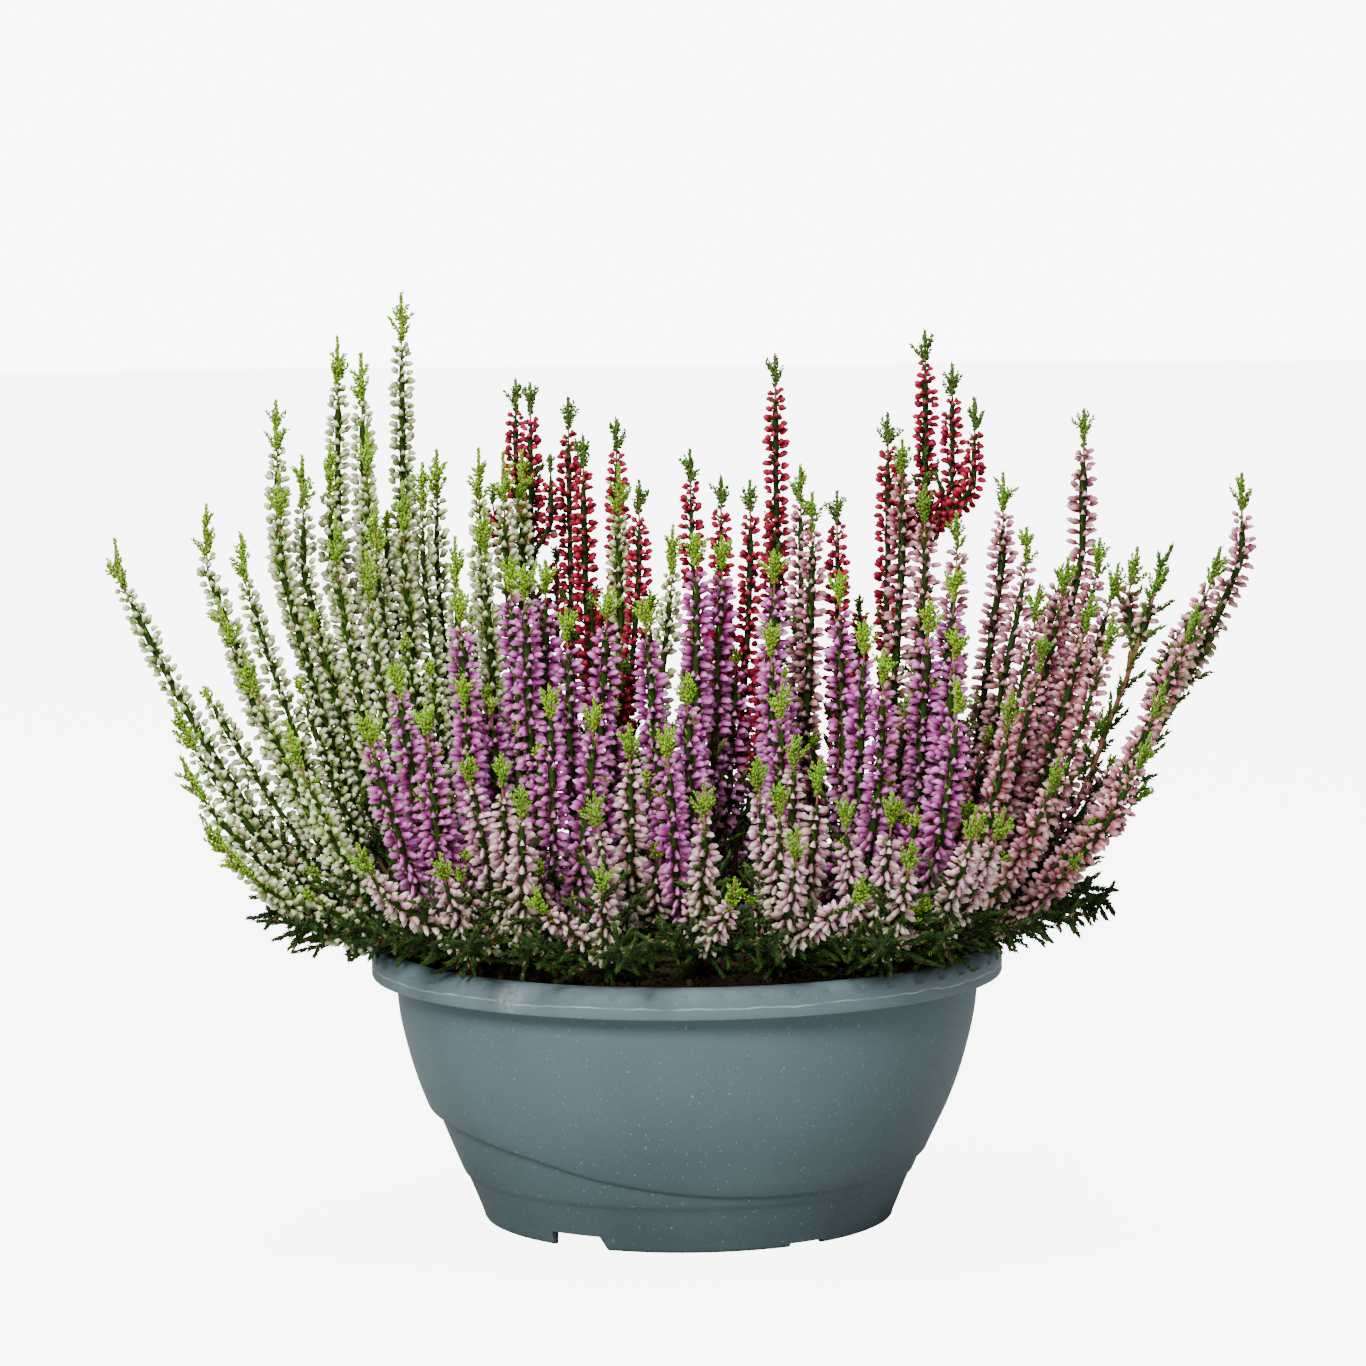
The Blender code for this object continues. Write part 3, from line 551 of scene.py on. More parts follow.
# %% [markdown]
# ## Many small parts
# Buds, needles and crumbs repeat thousands of times. Each is modelled once with a few faces, and a piece is
# joined from copies of it, each with its own place, turn and size, and its own three growth numbers. The
# copies are placed all at once with arrays, because a loop over so many would take minutes.


# %% Templates, frames for their copies, and pieces made of copies
SEED = 7
BUD_RADIUS = 0.58
# A way that no stem goes, to measure the turn round a stem from
REFERENCE = np.array((0.5, 0.3, -0.81))


def template(bm):
    """(corners, triangles) of a small closed shape, as arrays."""
    bmesh.ops.remove_doubles(bm, verts=bm.verts, dist=0.0001)
    bmesh.ops.triangulate(bm, faces=bm.faces)
    bmesh.ops.recalc_face_normals(bm, faces=bm.faces)
    bm.verts.index_update()
    corners = np.array([vert.co[:] for vert in bm.verts])
    faces = np.array([[vert.index for vert in face.verts] for face in bm.faces])
    bm.free()
    return corners, faces


def bud_shape():
    """A closed bud, 1 long and 1 wide: a fat egg with a drawn-in end."""
    bm = bmesh.new()
    bmesh.ops.create_uvsphere(bm, u_segments=3, v_segments=3, radius=BUD_RADIUS)
    for vert in bm.verts:
        along = vert.co.z / (2 * BUD_RADIUS) + 0.5
        wide = 0.9 if along > 0.5 else 1.0
        vert.co = Vector((vert.co.x * wide, vert.co.y * wide, along + 0.06 * (0 < along < 1)))
    return template(bm)


def scale_leaf_shape():
    """A heather leaf, 1 long and 1 wide: a short fat scale, widest below its middle."""
    bm = bmesh.new()
    bmesh.ops.create_uvsphere(bm, u_segments=3, v_segments=2, radius=0.5)
    for vert in bm.verts:
        vert.co.z = vert.co.z + 0.5 if abs(vert.co.z) > 0.4 else 0.42
    return template(bm)


def needle_shape():
    bm = bmesh.new()
    bmesh.ops.create_cone(bm, segments=3, radius1=0.5, radius2=0, depth=1)
    bmesh.ops.translate(bm, vec=(0, 0, 0.5), verts=bm.verts)
    return template(bm)


def crumb_shape():
    bm, draw = bmesh.new(), random.Random(SEED)
    bmesh.ops.create_icosphere(bm, subdivisions=1, radius=0.5)
    for vert in bm.verts:
        vert.co *= draw.uniform(0.75, 1.25)
    return template(bm)


def unit(rows):
    return rows / np.maximum(np.linalg.norm(rows, axis=-1, keepdims=True), 1e-9)


def frames(place, way, around, lift, offset, length, width):
    """A 3 x 4 matrix for each copy. It grows out of a stem that goes the given way, at an angle round it,
    lifted from square to the stem, and starts at an offset from its middle."""
    around, lift, offset, length, width = (
        np.broadcast_to(value, len(place))[:, None] for value in (around, lift, offset, length, width)
    )
    one = unit(np.cross(way, REFERENCE))
    two = np.cross(way, one)
    out = np.cos(around) * one + np.sin(around) * two
    long = np.cos(lift) * out + np.sin(lift) * way
    across = unit(np.cross(out, way))
    up = np.cross(across, long)
    return np.stack([across * width, up * width, long * length, place + out * offset], axis=-1)


def copies(shape, matrices, chance, rise, material):
    """(points, triangles, growth numbers, material index) of the shape at each matrix."""
    corners, faces = shape
    count, size = len(matrices), len(corners)
    points = np.einsum("kij,nj->kni", matrices[:, :, :3], corners) + matrices[:, None, :, 3]
    growth = np.empty((count, size, 3))
    growth[..., 0] = corners[None, :, 2]
    growth[..., 1] = np.broadcast_to(chance, count)[:, None]
    growth[..., 2] = np.broadcast_to(rise, count)[:, None]
    triangles = faces[None] + size * np.arange(count)[:, None, None]
    return points.reshape(-1, 3), triangles.reshape(-1, 3), growth.reshape(-1, 3), material


def tubes(ways, material, growth=0.5, roundness=1):
    """Round tubes along [(points, radii)], made by bevelling a curve."""
    curve = bpy.data.curves.new("stems", "CURVE")
    curve.dimensions, curve.bevel_depth, curve.bevel_resolution = "3D", 1.0, roundness
    curve.use_fill_caps = True
    for points, radii in ways:
        spline = curve.splines.new("POLY")
        spline.points.add(len(points) - 1)
        spline.points.foreach_set("co", np.c_[points, np.ones(len(points))].ravel())
        spline.points.foreach_set("radius", np.asarray(radii, float))
    holder = bpy.data.objects.new("stems", curve)
    mesh = bpy.data.meshes.new_from_object(holder)
    mesh.calc_loop_triangles()
    points = np.empty(len(mesh.vertices) * 3)
    mesh.vertices.foreach_get("co", points)
    triangles = np.empty(len(mesh.loop_triangles) * 3, np.int32)
    mesh.loop_triangles.foreach_get("vertices", triangles)
    bpy.data.objects.remove(holder)
    bpy.data.meshes.remove(mesh)
    bpy.data.curves.remove(curve)
    points = points.reshape(-1, 3)
    return points, triangles.reshape(-1, 3), np.full(points.shape, growth), material


def new_piece(name, parts, materials):
    """One mesh of all the parts, in metres, with their growth numbers as an attribute."""
    starts = np.cumsum([0] + [len(part[0]) for part in parts])
    points = np.concatenate([part[0] for part in parts]) * MM
    triangles = np.concatenate([part[1] + start for part, start in zip(parts, starts)])
    mesh = bpy.data.meshes.new(name)
    mesh.vertices.add(len(points))
    mesh.vertices.foreach_set("co", points.ravel())
    mesh.loops.add(triangles.size)
    mesh.loops.foreach_set("vertex_index", triangles.ravel().astype(np.int32))
    mesh.polygons.add(len(triangles))
    mesh.polygons.foreach_set("loop_start", np.arange(len(triangles), dtype=np.int32) * 3)
    kinds = np.concatenate([np.full(len(part[1]), part[3], np.int32) for part in parts])
    mesh.polygons.foreach_set("material_index", kinds)
    growth = mesh.attributes.new("growth", "FLOAT_VECTOR", "POINT")
    growth.data.foreach_set("vector", np.concatenate([part[2] for part in parts]).ravel())
    mesh.update(calc_edges=True)
    for material in materials:
        mesh.materials.append(material)
    mesh.shade_smooth()
    obj = bpy.data.objects.new(name, mesh)
    add_to_scene(obj)
    return obj


BUD, SCALE_LEAF, NEEDLE, CRUMB = bud_shape(), scale_leaf_shape(), needle_shape(), crumb_shape()
for name, shape in {"bud": BUD, "scale leaf": SCALE_LEAF, "needle": NEEDLE, "crumb": CRUMB}.items():
    print(name, len(shape[1]), "triangles")

# %% [markdown]
# ## The soil
# Little of it shows: a lumpy surface of peat with loose crumbs. It is a spun disc that fills the pot. Its top
# is raised and lowered by noise, which stays level on the whole, and crumbs are strewn on it.

# %% Lumpy top and crumbs
SOIL_TOP, SOIL_RADIUS = 99.0, 112.9
SOIL_RINGS, SOIL_SIDES, SOIL_RELIEF, SOIL_GAP = 40, 120, 2.2, 0.5
LUMPS_FADE, CRUMBS, CRUMB_SIZES, SOIL_SEED = 8, 800, (1.0, 3.4), 3


def soil_height(x, y):
    """Lumps that die out at the pot's wall."""
    inward = 1 - smooth((math.hypot(x, y) - SOIL_RADIUS + LUMPS_FADE) / LUMPS_FADE)
    lumps = noise.noise(Vector((x, y, 0)) * 0.07) + 0.6 * noise.noise(Vector((x, y, 9)) * 0.3)
    return SOIL_RELIEF * inward * lumps


def make_soil():
    rng = np.random.default_rng(SOIL_SEED)
    top = [(SOIL_RADIUS * i / SOIL_RINGS, SOIL_TOP) for i in range(SOIL_RINGS + 1)]
    side = [(radius - SOIL_GAP, max(height, POT_FLOOR + SOIL_GAP)) for radius, height in INNER_WALL]
    bm = spun(top + side + [(0, POT_FLOOR + SOIL_GAP)], SOIL_SIDES)
    for vert in bm.verts:
        if abs(vert.co.z - SOIL_TOP) < 0.01:
            vert.co.z += soil_height(vert.co.x, vert.co.y)
    ground = template(bm)
    parts = [(ground[0], ground[1], np.full(ground[0].shape, 0.3), 0)]
    reach, turn = SOIL_RADIUS * 0.975 * np.sqrt(rng.random(CRUMBS)), rng.random(CRUMBS) * math.tau
    x, y = reach * np.cos(turn), reach * np.sin(turn)
    z = np.array([SOIL_TOP + soil_height(a, b) + 0.3 for a, b in zip(x, y)])
    ways = unit(rng.normal(size=(CRUMBS, 3)))
    sizes = rng.uniform(*CRUMB_SIZES, CRUMBS)
    place = frames(np.stack([x, y, z], 1), ways, rng.random(CRUMBS) * math.tau, 0.3, 0, sizes, sizes * 0.8)
    parts.append(copies(CRUMB, place, rng.random(CRUMBS) ** 2, 0, 0))
    return new_piece("compost", parts, [compost])


soil = make_soil()
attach(soil, "root")
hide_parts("soil")
print("soil:", len(soil.data.polygons), "faces")

# %% [markdown]
# ## Where the branches grow
# This is the plan of the solid model: the tips of the shoots, seen from the front as (x, z) in millimetres,
# a row for each branch with its main shoot first. The tall kinds stand behind and at the sides, and the low
# ones in front. Working from the tips down puts each shoot where it shows.

# %% The plan of the plants
SPREAD = 245.0
DOME_FRONT, DOME_BACK, DOME_WIDEST, DOME_SLOPE = -143.0, 48.0, 165.0, 0.95
RACEME_ROOM, ROOT_ROOM = 15.4, 8.0
ROOT_WIDTH, ROOT_CURVE, ROOT_DEPTH_SHARE = 116.0, 2.4, 0.68
LEAN_FROM, LEAN_CURVE = 109.0, 0.6
UPRIGHT_FROM_X, UPRIGHT_FROM_Y = 260.0, 165.0
BACK_WIDTH, BACK_DEPTH = 205.0, 152.0
BACK_RINGS = [
    (5, 20, 155, 8, [(0.86, 200.0), (0.68, 222.0), (0.98, 168.0), (0.80, 182.0)]),
    (4, 36, 150, 14, [(0.42, 241.0), (0.30, 237.0), (0.55, 229.0), (0.58, 211.0)]),
]
HOLE_DEPTH, STEM_CLEARANCE, SOIL_EDGE = 8.0, 0.4, 113.4
LOW_FORK, FORK_RISE, FORK_STRETCH = 114.0, 30.0, 5.0
SHORTEST_FOOT = 8.0
SPRAY_EDGE_X, SPRAY_EDGE_Y, SPRAY_HEIGHT = 188.0, 120.0, 115.0
SPRAY_LENGTH = 44.0
SPRAY_RISE, SPRAY_POINTS, SPRAY_ROOM, SPRAYS_EACH = 9.0, 12, 8.6, 2
SPRAY_TURNS = [math.radians(a) for a in (-35, 35, -25, 25, -45, 45, -15, 15, -60, 60, -75, 75, 0)]
SPRAY_APART = math.radians(35)
# The length of a full raceme of each kind
RACEMES = {"white": 130, "crimson": 100, "magenta": 105, "blush": 85, "pink": 130}
BRANCHES = {
    "white": [
        [(-222, 271)],
        [(-186, 285), (-172, 274)],
        [(-180, 250), (-196, 211)],
        [(-149, 303), (-160, 324), (-157, 298), (-139, 307)],
        [(-127, 342), (-137, 348), (-112, 365)],
        [(-119, 286), (-124, 314), (-109, 293)],
        [(-135, 281), (-122, 268)],
        [(-97, 304), (-102, 300), (-88, 273)],
        [(-70, 304), (-80, 305), (-77, 285), (-63, 304)],
        [(-25, 299), (-4, 276)],
        [(-151, 206), (-169, 231)],
        [(-183, 171), (-192, 192), (-173, 161)],
    ],
    "crimson": [
        [(-60, 330), (-66, 331)],
        [(-39, 310), (-45, 324), (-26, 316), (-17, 293)],
        [(15, 294), (3, 304), (26, 293)],
        [(37, 340)],
        [(60, 288)],
        [(81, 317)],
        [(97, 349), (107, 336), (115, 323)],
    ],
    "magenta": [
        [(-86, 254), (-84, 223)],
        [(-61, 263), (-53, 264), (-67, 265)],
        [(-45, 247), (-29, 255)],
        [(-51, 220), (-34, 215)],
        [(-110, 228), (-98, 214), (-120, 210)],
        [(1, 224), (-15, 250), (-7, 206)],
        [(5, 274), (15, 272)],
        [(33, 241), (35, 267), (37, 219)],
        [(69, 241), (60, 259), (76, 231)],
        [(104, 239), (94, 248), (105, 259), (104, 220)],
    ],
    "blush": [
        [(-69, 196), (-82, 196), (-61, 186)],
        [(-21, 206), (-34, 183)],
        [(41, 201), (27, 194), (50, 193)],
        [(77, 182), (59, 181)],
        [(108, 176), (119, 174)],
        [(-91, 161), (-122, 164)],
        [(7, 186), (18, 151)],
        [(83, 165), (79, 143), (89, 142)],
        [(-31, 158), (-56, 149)],
        [(35, 186), (41, 171), (65, 152)],
    ],
    "pink": [
        [(46, 298), (50, 288)],
        [(94, 290), (86, 307), (106, 280)],
        [(133, 274), (125, 294), (137, 253)],
        [(158, 318)],
        [(162, 269), (149, 262)],
        [(168, 260), (157, 249), (164, 242)],
        [(185, 261), (177, 265)],
        [(219, 293), (209, 265)],
        [(138, 235), (124, 215), (141, 192)],
        [(184, 216), (198, 244), (177, 198)],
    ],
}
HIGH_FORKS = {(97, 349): 262.0, (185, 261): 220.0, (219, 293): 200.0, (-60, 330): 255.0}
print(sum(len(rows) for rows in BRANCHES.values()), "branches planned by hand")

# %% [markdown]
# The shoots' ends form a dome, so a tip's height and width also give how far back it stands. Tips and roots
# that come too near each other are moved apart. A stem goes up out of the soil, leans out to its place and
# then stands upright. Low leafy sprays lie out over the rim, where no other stem is in their way.

# %% Places and ways
def depth_of(x, z):
    """How far back a shoot with its tip at x and z stands, on the front of the dome."""
    slope = DOME_SLOPE if z > DOME_WIDEST else -1
    depth = min(DOME_FRONT + slope * (z - DOME_WIDEST), DOME_BACK)
    return depth * math.sqrt(1 - (x / SPREAD) ** 2)


def back_branches():
    """The far side of the dome, by rule: short branches of the kind that grows nearest."""
    draw = random.Random(SEED)
    branches = []
    for count, first, last, swing, shoots in BACK_RINGS:
        for step in range(count):
            azimuth = first + (last - first) * step / (count - 1)
            tips = []
            for reach, height in shoots:
                angle = math.radians(azimuth + draw.uniform(-swing, swing))
                x, y = BACK_WIDTH * reach * math.cos(angle), BACK_DEPTH * reach * math.sin(angle)
                tips.append(Vector((x, y, height + draw.uniform(-6, 6))))
            kind = "pink" if tips[0].x > 70 else "white" if tips[0].x < -70 else "magenta"
            branches.append((kind, LOW_FORK, tips))
    return branches


def root_of(tip):
    """Where a branch leaves the soil: under its tip in the middle, and well inside the pot at the sides."""
    x = tip.x / (1 + (abs(tip.x) / ROOT_WIDTH) ** ROOT_CURVE) ** (1 / ROOT_CURVE)
    y = tip.y * ROOT_DEPTH_SHARE * math.sqrt(1 - (x / (SOIL_EDGE - 1)) ** 2)
    return Vector((x, y, SOIL_TOP))


def move_apart(places, room, ways):
    """Pushes places that are nearer than the room apart, in the ways that are 1, a little at a time."""
    for _ in range(80):
        for i, a in enumerate(places):
            for b in places[i + 1 :]:
                gap = Vector((b.x - a.x, b.y - a.y, 0))
                if gap.length >= room:
                    continue
                push = gap * ways
                push = push.normalized() if push.length > 0.01 else Vector((0, 1, 0))
                a -= push * (room - gap.length) * 0.3
                b += push * (room - gap.length) * 0.3


def all_branches():
    """[(kind, root, fork height, tips)]. Tips and roots are moved apart until each has its own room."""
    branches = []
    for kind, rows in BRANCHES.items():
        for row in rows:
            tips = [Vector((x, depth_of(x, z), z)) for x, z in row]
            branches.append((kind, HIGH_FORKS.get(row[0], LOW_FORK), tips))
    branches += back_branches()
    move_apart([tip for _, _, tips in branches for tip in tips], RACEME_ROOM, Vector((0, 1, 0)))
    roots = [root_of(tips[0]) for _, _, tips in branches]
    move_apart(roots, ROOT_ROOM, Vector((1, 1, 0)))
    return [(kind, root, fork, tips) for (kind, fork, tips), root in zip(branches, roots)]


def stem_at(root, tip, height):
    """The middle of a shoot's stem at the height: up from the soil, out to its place, and up again."""
    place = root.copy()
    for axis, upright_from in ((0, UPRIGHT_FROM_X), (1, UPRIGHT_FROM_Y)):
        full = min(upright_from, tip.z - 4)
        t = min(1, max(0, (height - LEAN_FROM) / (full - LEAN_FROM)))
        place[axis] += (tip[axis] - root[axis]) * t**LEAN_CURVE
    place.z = height
    return place


def shoot_path(root, tip, main, fork):
    """Points up a shoot, 2 mm apart in height. A side shoot starts on the branch's main shoot."""
    start = SOIL_TOP - HOLE_DEPTH + STEM_CLEARANCE if tip is main else fork
    steps = math.ceil((tip.z - start) / 2)
    points = []
    for step in range(steps + 1):
        height = start + (tip.z - start) * step / steps
        own = stem_at(root, tip, height)
        if tip is not main:
            own = stem_at(root, main, height).lerp(own, smooth((height - fork) / FORK_RISE))
        points.append(own)
    return points


def spray_path(root, main, turned):
    """A low leafy side spray's way from the stem out over the rim, turned from straight outwards."""
    azimuth = math.atan2(main.y, main.x) + turned
    way = Vector((math.cos(azimuth), math.sin(azimuth), 0)) * SPRAY_LENGTH
    start = stem_at(root, main, SPRAY_HEIGHT + FORK_STRETCH / 2)
    shares = [i / SPRAY_POINTS for i in range(SPRAY_POINTS + 1)]
    return [start + way * share + Vector((0, 0, SPRAY_RISE * math.sin(2 * share))) for share in shares]


def low_points(root, fork, tips):
    """Points on a branch's stems up to the height that the sprays reach."""
    paths = [shoot_path(root, tip, tips[0], fork) for tip in tips]
    return [point for path in paths for point in path if point.z < SPRAY_HEIGHT + 4 * SPRAY_RISE]


def clear_of(path, others):
    """Whether the path keeps its room from all the other points."""
    near = [point for point in others if (point - path[0]).length < SPRAY_LENGTH + SPRAY_ROOM]
    return all((point - own).length > SPRAY_ROOM for own in path[1:] for point in near)


def all_sprays(branches):
    """For each branch, its low sprays. Those at the outside of the plants have some, clear of other stems."""
    low = [low_points(root, fork, tips) for _, root, fork, tips in branches]
    sprays = []
    for i, (_, root, _, tips) in enumerate(branches):
        main, chosen = tips[0], []
        if math.hypot(main.x / SPRAY_EDGE_X, main.y / SPRAY_EDGE_Y) > 1:
            others = [point for points in low[:i] + low[i + 1 :] for point in points]
            for turned in SPRAY_TURNS:
                path = spray_path(root, main, turned)
                apart = all(abs(turned - other) > SPRAY_APART for other, _ in chosen)
                if apart and len(chosen) < SPRAYS_EACH and clear_of(path, others):
                    chosen.append((turned, path))
        low[i] += [point for _, path in chosen for point in path]
        sprays.append([path for _, path in chosen])
    return sprays


def distance_to(points, height):
    """How far along the path it first reaches the height."""
    low = [point for point in points if point.z < height]
    return sum((b - a).length for a, b in zip(low, low[1:]))


def foot_top(path, fork, side_shoots, sprays):
    """How far up the main shoot its forks and sprays have all left it."""
    tops = [distance_to(path, LEAN_FROM)]
    if side_shoots:
        tops.append(distance_to(path, fork) + FORK_STRETCH)
    if sprays:
        apart = not side_shoots or fork > SPRAY_HEIGHT + 2 * FORK_STRETCH
        low = distance_to(path, SPRAY_HEIGHT) if apart else tops[-1]
        tops.append(low + FORK_STRETCH)
    return max(tops)


branches = all_branches()
sprays = all_sprays(branches)
print(len(branches), "branches,", sum(len(own) for own in sprays), "low sprays")

# %% [markdown]
# ## How a branch grows
# Each shoot has a woody foot with leafy twigs, then a raceme, which is a dense column of buds over small
# leaves, and at the end a tip of new growth. The kinds differ in how big their buds are, how these are held,
# and in their tips, so one set of functions grows them all from a table of their measures.

# %% The kinds
# half: half the raceme's width. row, each: the spacing of rows, and buds in one. bud: its length and width.
# lifts: how far a bud points up, low and high on the raceme, in degrees. crown: how many twigs a tip has,
# their length, and how far up they point. tip: the tip's length. leaf: the length of a leaf on it. bright:
# how yellow-green it is.
MEASURES = ("half", "row", "each", "bud", "lifts", "crown", "tip", "leaf", "bright")
LOOKS = {
    "white": (5.4, 3.5, 5, (4.1, 3.0), (10, 34), (9, 8, 58), 19, 2.2, 0.95),
    "crimson": (5.4, 3.3, 5, (4.1, 2.9), (0, 24), (7, 7.5, 58), 12, 2.1, 0.8),
    "magenta": (6.9, 3.9, 6, (5.6, 2.8), (-20, 16), (8, 8.5, 58), 12, 2.1, 1),
    "blush": (6.5, 3.9, 6, (5.2, 2.7), (-30, 6), (8, 8, 58), 12, 2.1, 0.95),
    "pink": (6.2, 3.6, 5, (5.0, 2.8), (-14, 20), (7, 8, 60), 14, 2.1, 0.9),
}
LOOKS = {kind: dict(zip(MEASURES, values)) for kind, values in LOOKS.items()}
GOLDEN = math.radians(137.5)
# Branches that stand this far out have a skirt of twigs at the rim, this high up their stems
SKIRT_FROM, SKIRT_HIGH = 62.0, 26.0
SKIRT_TWIGS = dict(spacing=1.4, reach=(14, 30), lifts=(-6, 32))
SPRAY_TWIGS = 18
# Inside its buds a raceme has a dark leafy core of this share of its width, with a ring at each step
CORE_SHARE, CORE_STEP = 0.26, 6.0
# A side raceme shorter than this is left out, and this much of its end is its tip, with a small crown
SIDE_SHORTEST, SIDE_TIP, SIDE_CROWN, SIDE_POINTS = 22, 6, (3, 5, 60), 16
# Beside a shoot that ends farther out or forward than this, it stands on the inner side
OUTER_SHOOT = 90
# Twigs are longest and darkest near the rim, and change over these heights
TWIGS_FROM, TWIGS_FADE, TWIGS_BRIGHTEN = 125, 60, 190
WOOD_SLOT, LEAF_SLOT, BUD_SLOT = 0, 1, 2


def distances(line):
    """How far along the line each of its points is."""
    return np.r_[0, np.cumsum(np.linalg.norm(np.diff(line, axis=0), axis=1))]


def on_line(line, far, distance):
    """Places on the line at the distances, and which way it goes there."""
    def at(d):
        return np.stack([np.interp(d, far, line[:, axis]) for axis in range(3)], axis=1)

    distance = np.clip(distance, 0, far[-1])
    return at(distance), unit(at(np.minimum(distance + 1, far[-1])) - at(np.maximum(distance - 1, 0)))


def twigs(starts, ways, lengths, leaf, bright, rng, dense, shape=SCALE_LEAF):
    """Straight leafy twigs: a thin stalk each, with scale leaves all along it that close up at its end."""
    lengths = above_pot(starts, ways, lengths)
    counts = np.maximum(5, (lengths * dense).astype(int))
    index = np.repeat(np.arange(len(starts)), counts)
    order = np.arange(len(index)) - np.repeat(np.cumsum(counts) - counts, counts)
    share = (order + rng.random(len(index))) / counts[index]
    place = starts[index] + ways[index] * (lengths[index] * share)[:, None]
    lift = np.radians(44 + 32 * share) + rng.normal(0, 0.14, len(index))
    size = leaf * (1.08 - 0.25 * share) * rng.uniform(0.8, 1.15, len(index))
    around = order * GOLDEN + rng.normal(0, 0.3, len(index))
    leafy = frames(place, ways[index], around, lift, 0.2, size, size * 0.62)
    bright = np.clip(np.broadcast_to(bright, len(starts))[index] + 0.35 * (share - 0.5), 0, 1)
    stalks = frames(starts, ways, 0, math.pi / 2, 0, lengths, 0.9)
    return [
        copies(shape, leafy, rng.random(len(index)), bright, LEAF_SLOT),
        copies(NEEDLE, stalks, 0.5, 0.3, WOOD_SLOT),
    ]


def above_pot(starts, ways, lengths):
    """The lengths, cut so that no twig that hangs down reaches below the rim."""
    fall = np.maximum(-ways[:, 2], 1e-6)
    return np.minimum(lengths, np.maximum(starts[:, 2] - RIM_HEIGHT - 1.5, 1) / fall)


def turned_out(way, around, lift):
    """Ways that leave the stem's way at angles round it, lifted from square to it."""
    return frames(np.zeros_like(way), way, around, lift, 0, 1, 1)[:, :, 2]


def raceme(line, far, start, end, look, rng):
    """Buds in rows up a shoot, turned from row to row, each over a small leaf."""
    each, row = look["each"], look["row"]
    count = max(1, int((end - start) / row)) * each
    number = np.arange(count)
    distance = start + (number // each + rng.uniform(0.1, 0.9, count)) * row
    rise = (distance - start) / (end - start)
    around = (number % each) * math.tau / each + (number // each) * math.pi / each + rng.normal(0, 0.2, count)
    place, way = on_line(line, far, distance)
    fullness = np.minimum(1, 0.62 + 0.38 * (end - distance) / 18) * np.minimum(1, 0.62 + 1.4 * rise)
    length = look["bud"][0] * fullness * rng.uniform(0.86, 1.14, count)
    width = look["bud"][1] * fullness**0.5 * rng.uniform(0.88, 1.12, count)
    low, high = np.radians(look["lifts"])
    lift = low + (high - low) * rise + rng.normal(0, 0.17, count)
    offset = np.maximum(0.6, look["half"] * fullness * rng.uniform(0.88, 1.08, count) - length * np.cos(lift))
    kept = rng.random(count) < 0.96
    made = frames(place, way, around, lift, offset, length, width)[kept]
    under = frames(place - way * 0.9, way, around + 0.4, lift * 0.4 + 0.65, 0.5, offset + 2.2, 1.5)[::2]
    steps = np.arange(start - 2, end, CORE_STEP)
    core_radii = look["half"] * CORE_SHARE * rng.uniform(0.75, 1.1, len(steps))
    core_radii[[0, -1]] *= 0.4
    return [
        tubes([(on_line(line, far, steps)[0], core_radii)], LEAF_SLOT, 0.2, 0),
        copies(BUD, made, rng.random(count)[kept], rise[kept], BUD_SLOT),
        copies(NEEDLE, under, rng.random(len(under)), 0.25 + 0.35 * rise[::2], LEAF_SLOT),
    ]


def side_raceme(line, far, start, end, look, rng):
    """A shorter flowering shoot beside a shoot, low down and inside the plants' outline."""
    length = min(rng.uniform(0.5, 0.8) * (end - start), end - start - 10)
    if length < SIDE_SHORTEST:
        return [], []
    first = start - rng.uniform(4, 16)
    share = np.linspace(0, 1, SIDE_POINTS)
    place, _ = on_line(line, far, np.linspace(first, first + length, SIDE_POINTS))
    around = rng.uniform(0, 6)
    away = np.array((math.cos(around), 0.8 * math.sin(around), 0)) * rng.uniform(8, 13)
    if away[0] * line[-1][0] > 0 and abs(line[-1][0]) > OUTER_SHOOT:
        away[0] *= -1
    if line[-1][1] < -OUTER_SHOOT and away[1] < 0:
        away[1] *= -1
    own = place + away * np.minimum(1, share / 0.3)[:, None] ** 0.7
    own_far = distances(own)
    budded = own_far[-1] - SIDE_TIP
    parts = raceme(own, own_far, 7, budded, look, rng)
    parts += tip(own, own_far, budded, {**look, "crown": SIDE_CROWN}, rng)
    return parts, [(own, np.linspace(0.7, 0.3, len(own)))]


def tip(line, far, start, look, rng):
    """The new growth: leaves up the end of the shoot, and a crown of short twigs round it."""
    number, length, lift = look["crown"]
    leaf, bright = look["leaf"], look["bright"]
    place, _ = on_line(line, far, np.array([start - 1.0]))
    axis = unit(line[-1] - place[0])
    parts = twigs(place, axis[None], np.array([far[-1] - start + 1.0]), leaf, bright, rng, 2.8)
    share = rng.uniform(0, 0.62, number)
    starts, ways = on_line(line, far, start + share * (far[-1] - start) - 1)
    around = np.arange(number) * GOLDEN + rng.uniform(0, 6)
    ways = turned_out(ways, around, np.radians(rng.normal(lift, 8, number)))
    lengths = length * (1.05 - 0.6 * share) * rng.uniform(0.75, 1.15, number)
    return parts + twigs(starts, ways, lengths, leaf, bright, rng, 2.0)


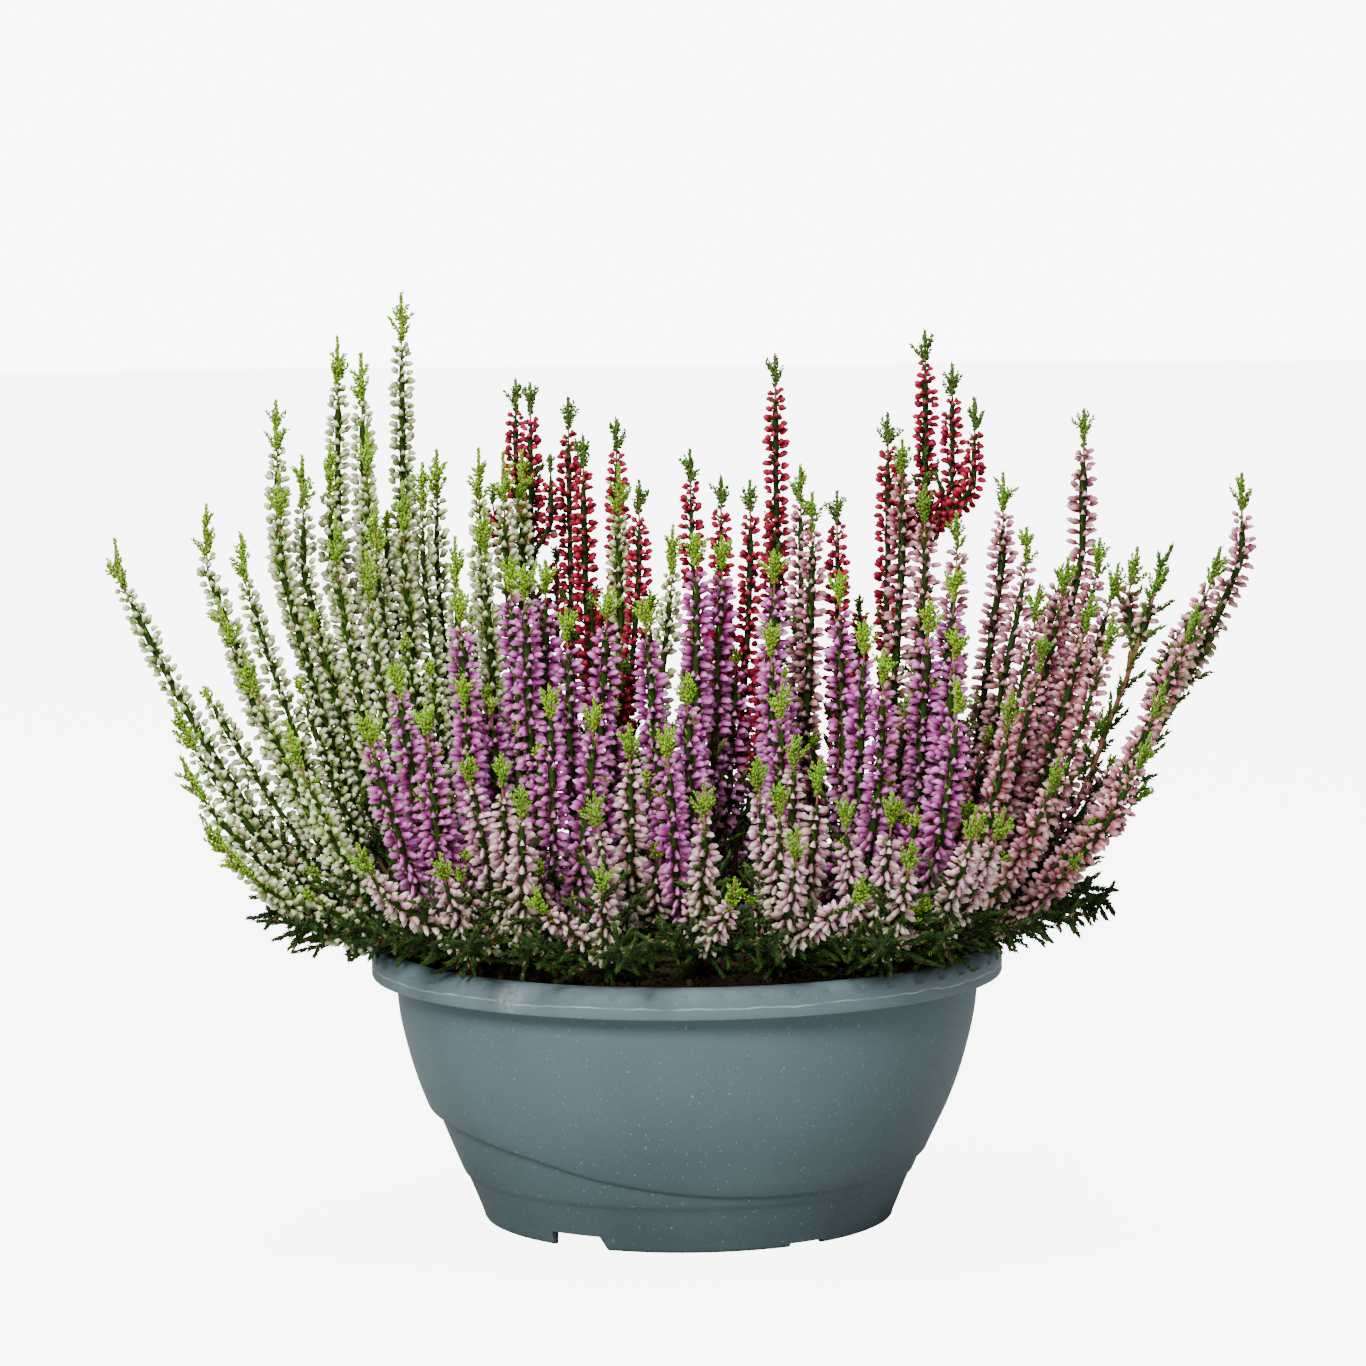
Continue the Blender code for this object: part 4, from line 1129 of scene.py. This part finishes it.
def foot_twigs(line, far, low, high, rng, spacing, reach, lifts=(25, 50)):
    """Leafy twigs on the woody foot of a shoot, between two distances along it."""
    number = int((high - low) / spacing)
    if number < 1:
        return []
    distance = low + (np.arange(number) + rng.random(number)) * (high - low) / number
    starts, ways = on_line(line, far, distance)
    high_up = np.clip((starts[:, 2] - TWIGS_FROM) / TWIGS_FADE, 0, 1)
    lift = np.radians(rng.uniform(*lifts, number) + 22 * high_up)
    ways = turned_out(ways, np.arange(number) * GOLDEN + rng.uniform(0, 6), lift)
    lengths = rng.uniform(*reach, number) * (1 - 0.5 * high_up)
    bright = np.clip((starts[:, 2] - TWIGS_FROM) / TWIGS_BRIGHTEN, 0.0, 0.4)
    return twigs(starts, ways, lengths, 2.9, bright, rng, 1.5, NEEDLE)


def spray(path, rng):
    """A low side branch: a thin stem with needles and leafy twigs all round it."""
    line = np.array([point[:] for point in path])
    far = distances(line)
    parts = [tubes([(line, np.linspace(0.9, 0.3, len(line)))], WOOD_SLOT)]
    starts, ways = on_line(line, far, np.linspace(3, far[-1] - 1, SPRAY_TWIGS))
    lift = np.radians(rng.uniform(20, 55, SPRAY_TWIGS))
    ways = turned_out(ways, np.arange(SPRAY_TWIGS) * GOLDEN, lift)
    lengths = np.linspace(16, 8, SPRAY_TWIGS) * rng.uniform(0.8, 1.2, SPRAY_TWIGS)
    parts += twigs(starts, ways, lengths, 2.6, 0.05, rng, 2.4, NEEDLE)
    leafy = int(far[-1] * 2.6)
    place, way = on_line(line, far, np.linspace(2, far[-1], leafy))
    made = frames(place, way, np.arange(leafy) * GOLDEN, 0.7, 0.3, 2.6, 1.5)
    return parts + [copies(NEEDLE, made, rng.random(leafy), 0.05, LEAF_SLOT)]


def wavering(line, rng):
    """Small bends in a stem, none at its ends."""
    wave = np.cumsum(rng.normal(0, 0.12, (len(line), 3)), axis=0)
    share = np.linspace(0, 1, len(line))[:, None]
    return line + (wave - wave[-1] * share) * np.sin(np.pi * share)


print("kinds:", ", ".join(LOOKS))

# %% [markdown]
# A branch is one piece, because its shoots are one plant. Each shoot grows along the solid's own stem, with
# small bends added. A seed of its own makes a branch come out the same whatever is changed in the others.


# %% Grow the branches
def grow_branch(name, kind, root, fork, tips, own_sprays, seed):
    look, rng = LOOKS[kind], np.random.default_rng(seed)
    main = shoot_path(root, tips[0], tips[0], fork)
    main_foot = foot_top(main, fork, len(tips) > 1, bool(own_sprays))
    parts, stems = [], []
    for end_tip in tips:
        is_main = end_tip is tips[0]
        path = main if is_main else shoot_path(root, end_tip, tips[0], fork)
        low, foot = (distance_to(path, LEAN_FROM), main_foot) if is_main else (6.0, 0)
        thick, spacing = (1.5, 3.6) if is_main else (1.1, 6.0)
        line = wavering(np.array([point[:] for point in path]), rng)
        far = distances(line)
        length = far[-1]
        budded = min(RACEMES[kind], length - look["tip"] - foot - SHORTEST_FOOT)
        start, end = length - look["tip"] - budded, length - look["tip"]
        kept = np.r_[0 : len(line) - 1 : 3, len(line) - 1]
        stems.append((line[kept], np.interp(far[kept], (0, start, length), (thick, thick * 0.7, 0.3))))
        parts += raceme(line, far, start, end, look, rng) + tip(line, far, end, look, rng)
        parts += foot_twigs(line, far, low, start + 30, rng, spacing, (12, 26))
        if is_main and math.hypot(root.x, root.y) > SKIRT_FROM:
            parts += foot_twigs(line, far, low, low + SKIRT_HIGH, rng, **SKIRT_TWIGS)
        side_parts, side_stems = side_raceme(line, far, start, end, look, rng)
        parts, stems = parts + side_parts, stems + side_stems
    parts.append(tubes(stems, WOOD_SLOT))
    for path in own_sprays:
        parts += spray(path, rng)
    return new_piece(name, parts, [wood, leaves[kind], buds[kind]])


counts, total = dict.fromkeys(LOOKS, 0), 0
for number, ((kind, root, fork, tips), own) in enumerate(zip(branches, sprays)):
    counts[kind] += 1
    node = f"{kind}_branch_{counts[kind]:02d}"
    piece = grow_branch(node + "_fine", kind, root, fork, tips, own, number)
    total += len(piece.data.polygons)
    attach(piece, "root")
    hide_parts(node)
print(counts, total, "triangles")
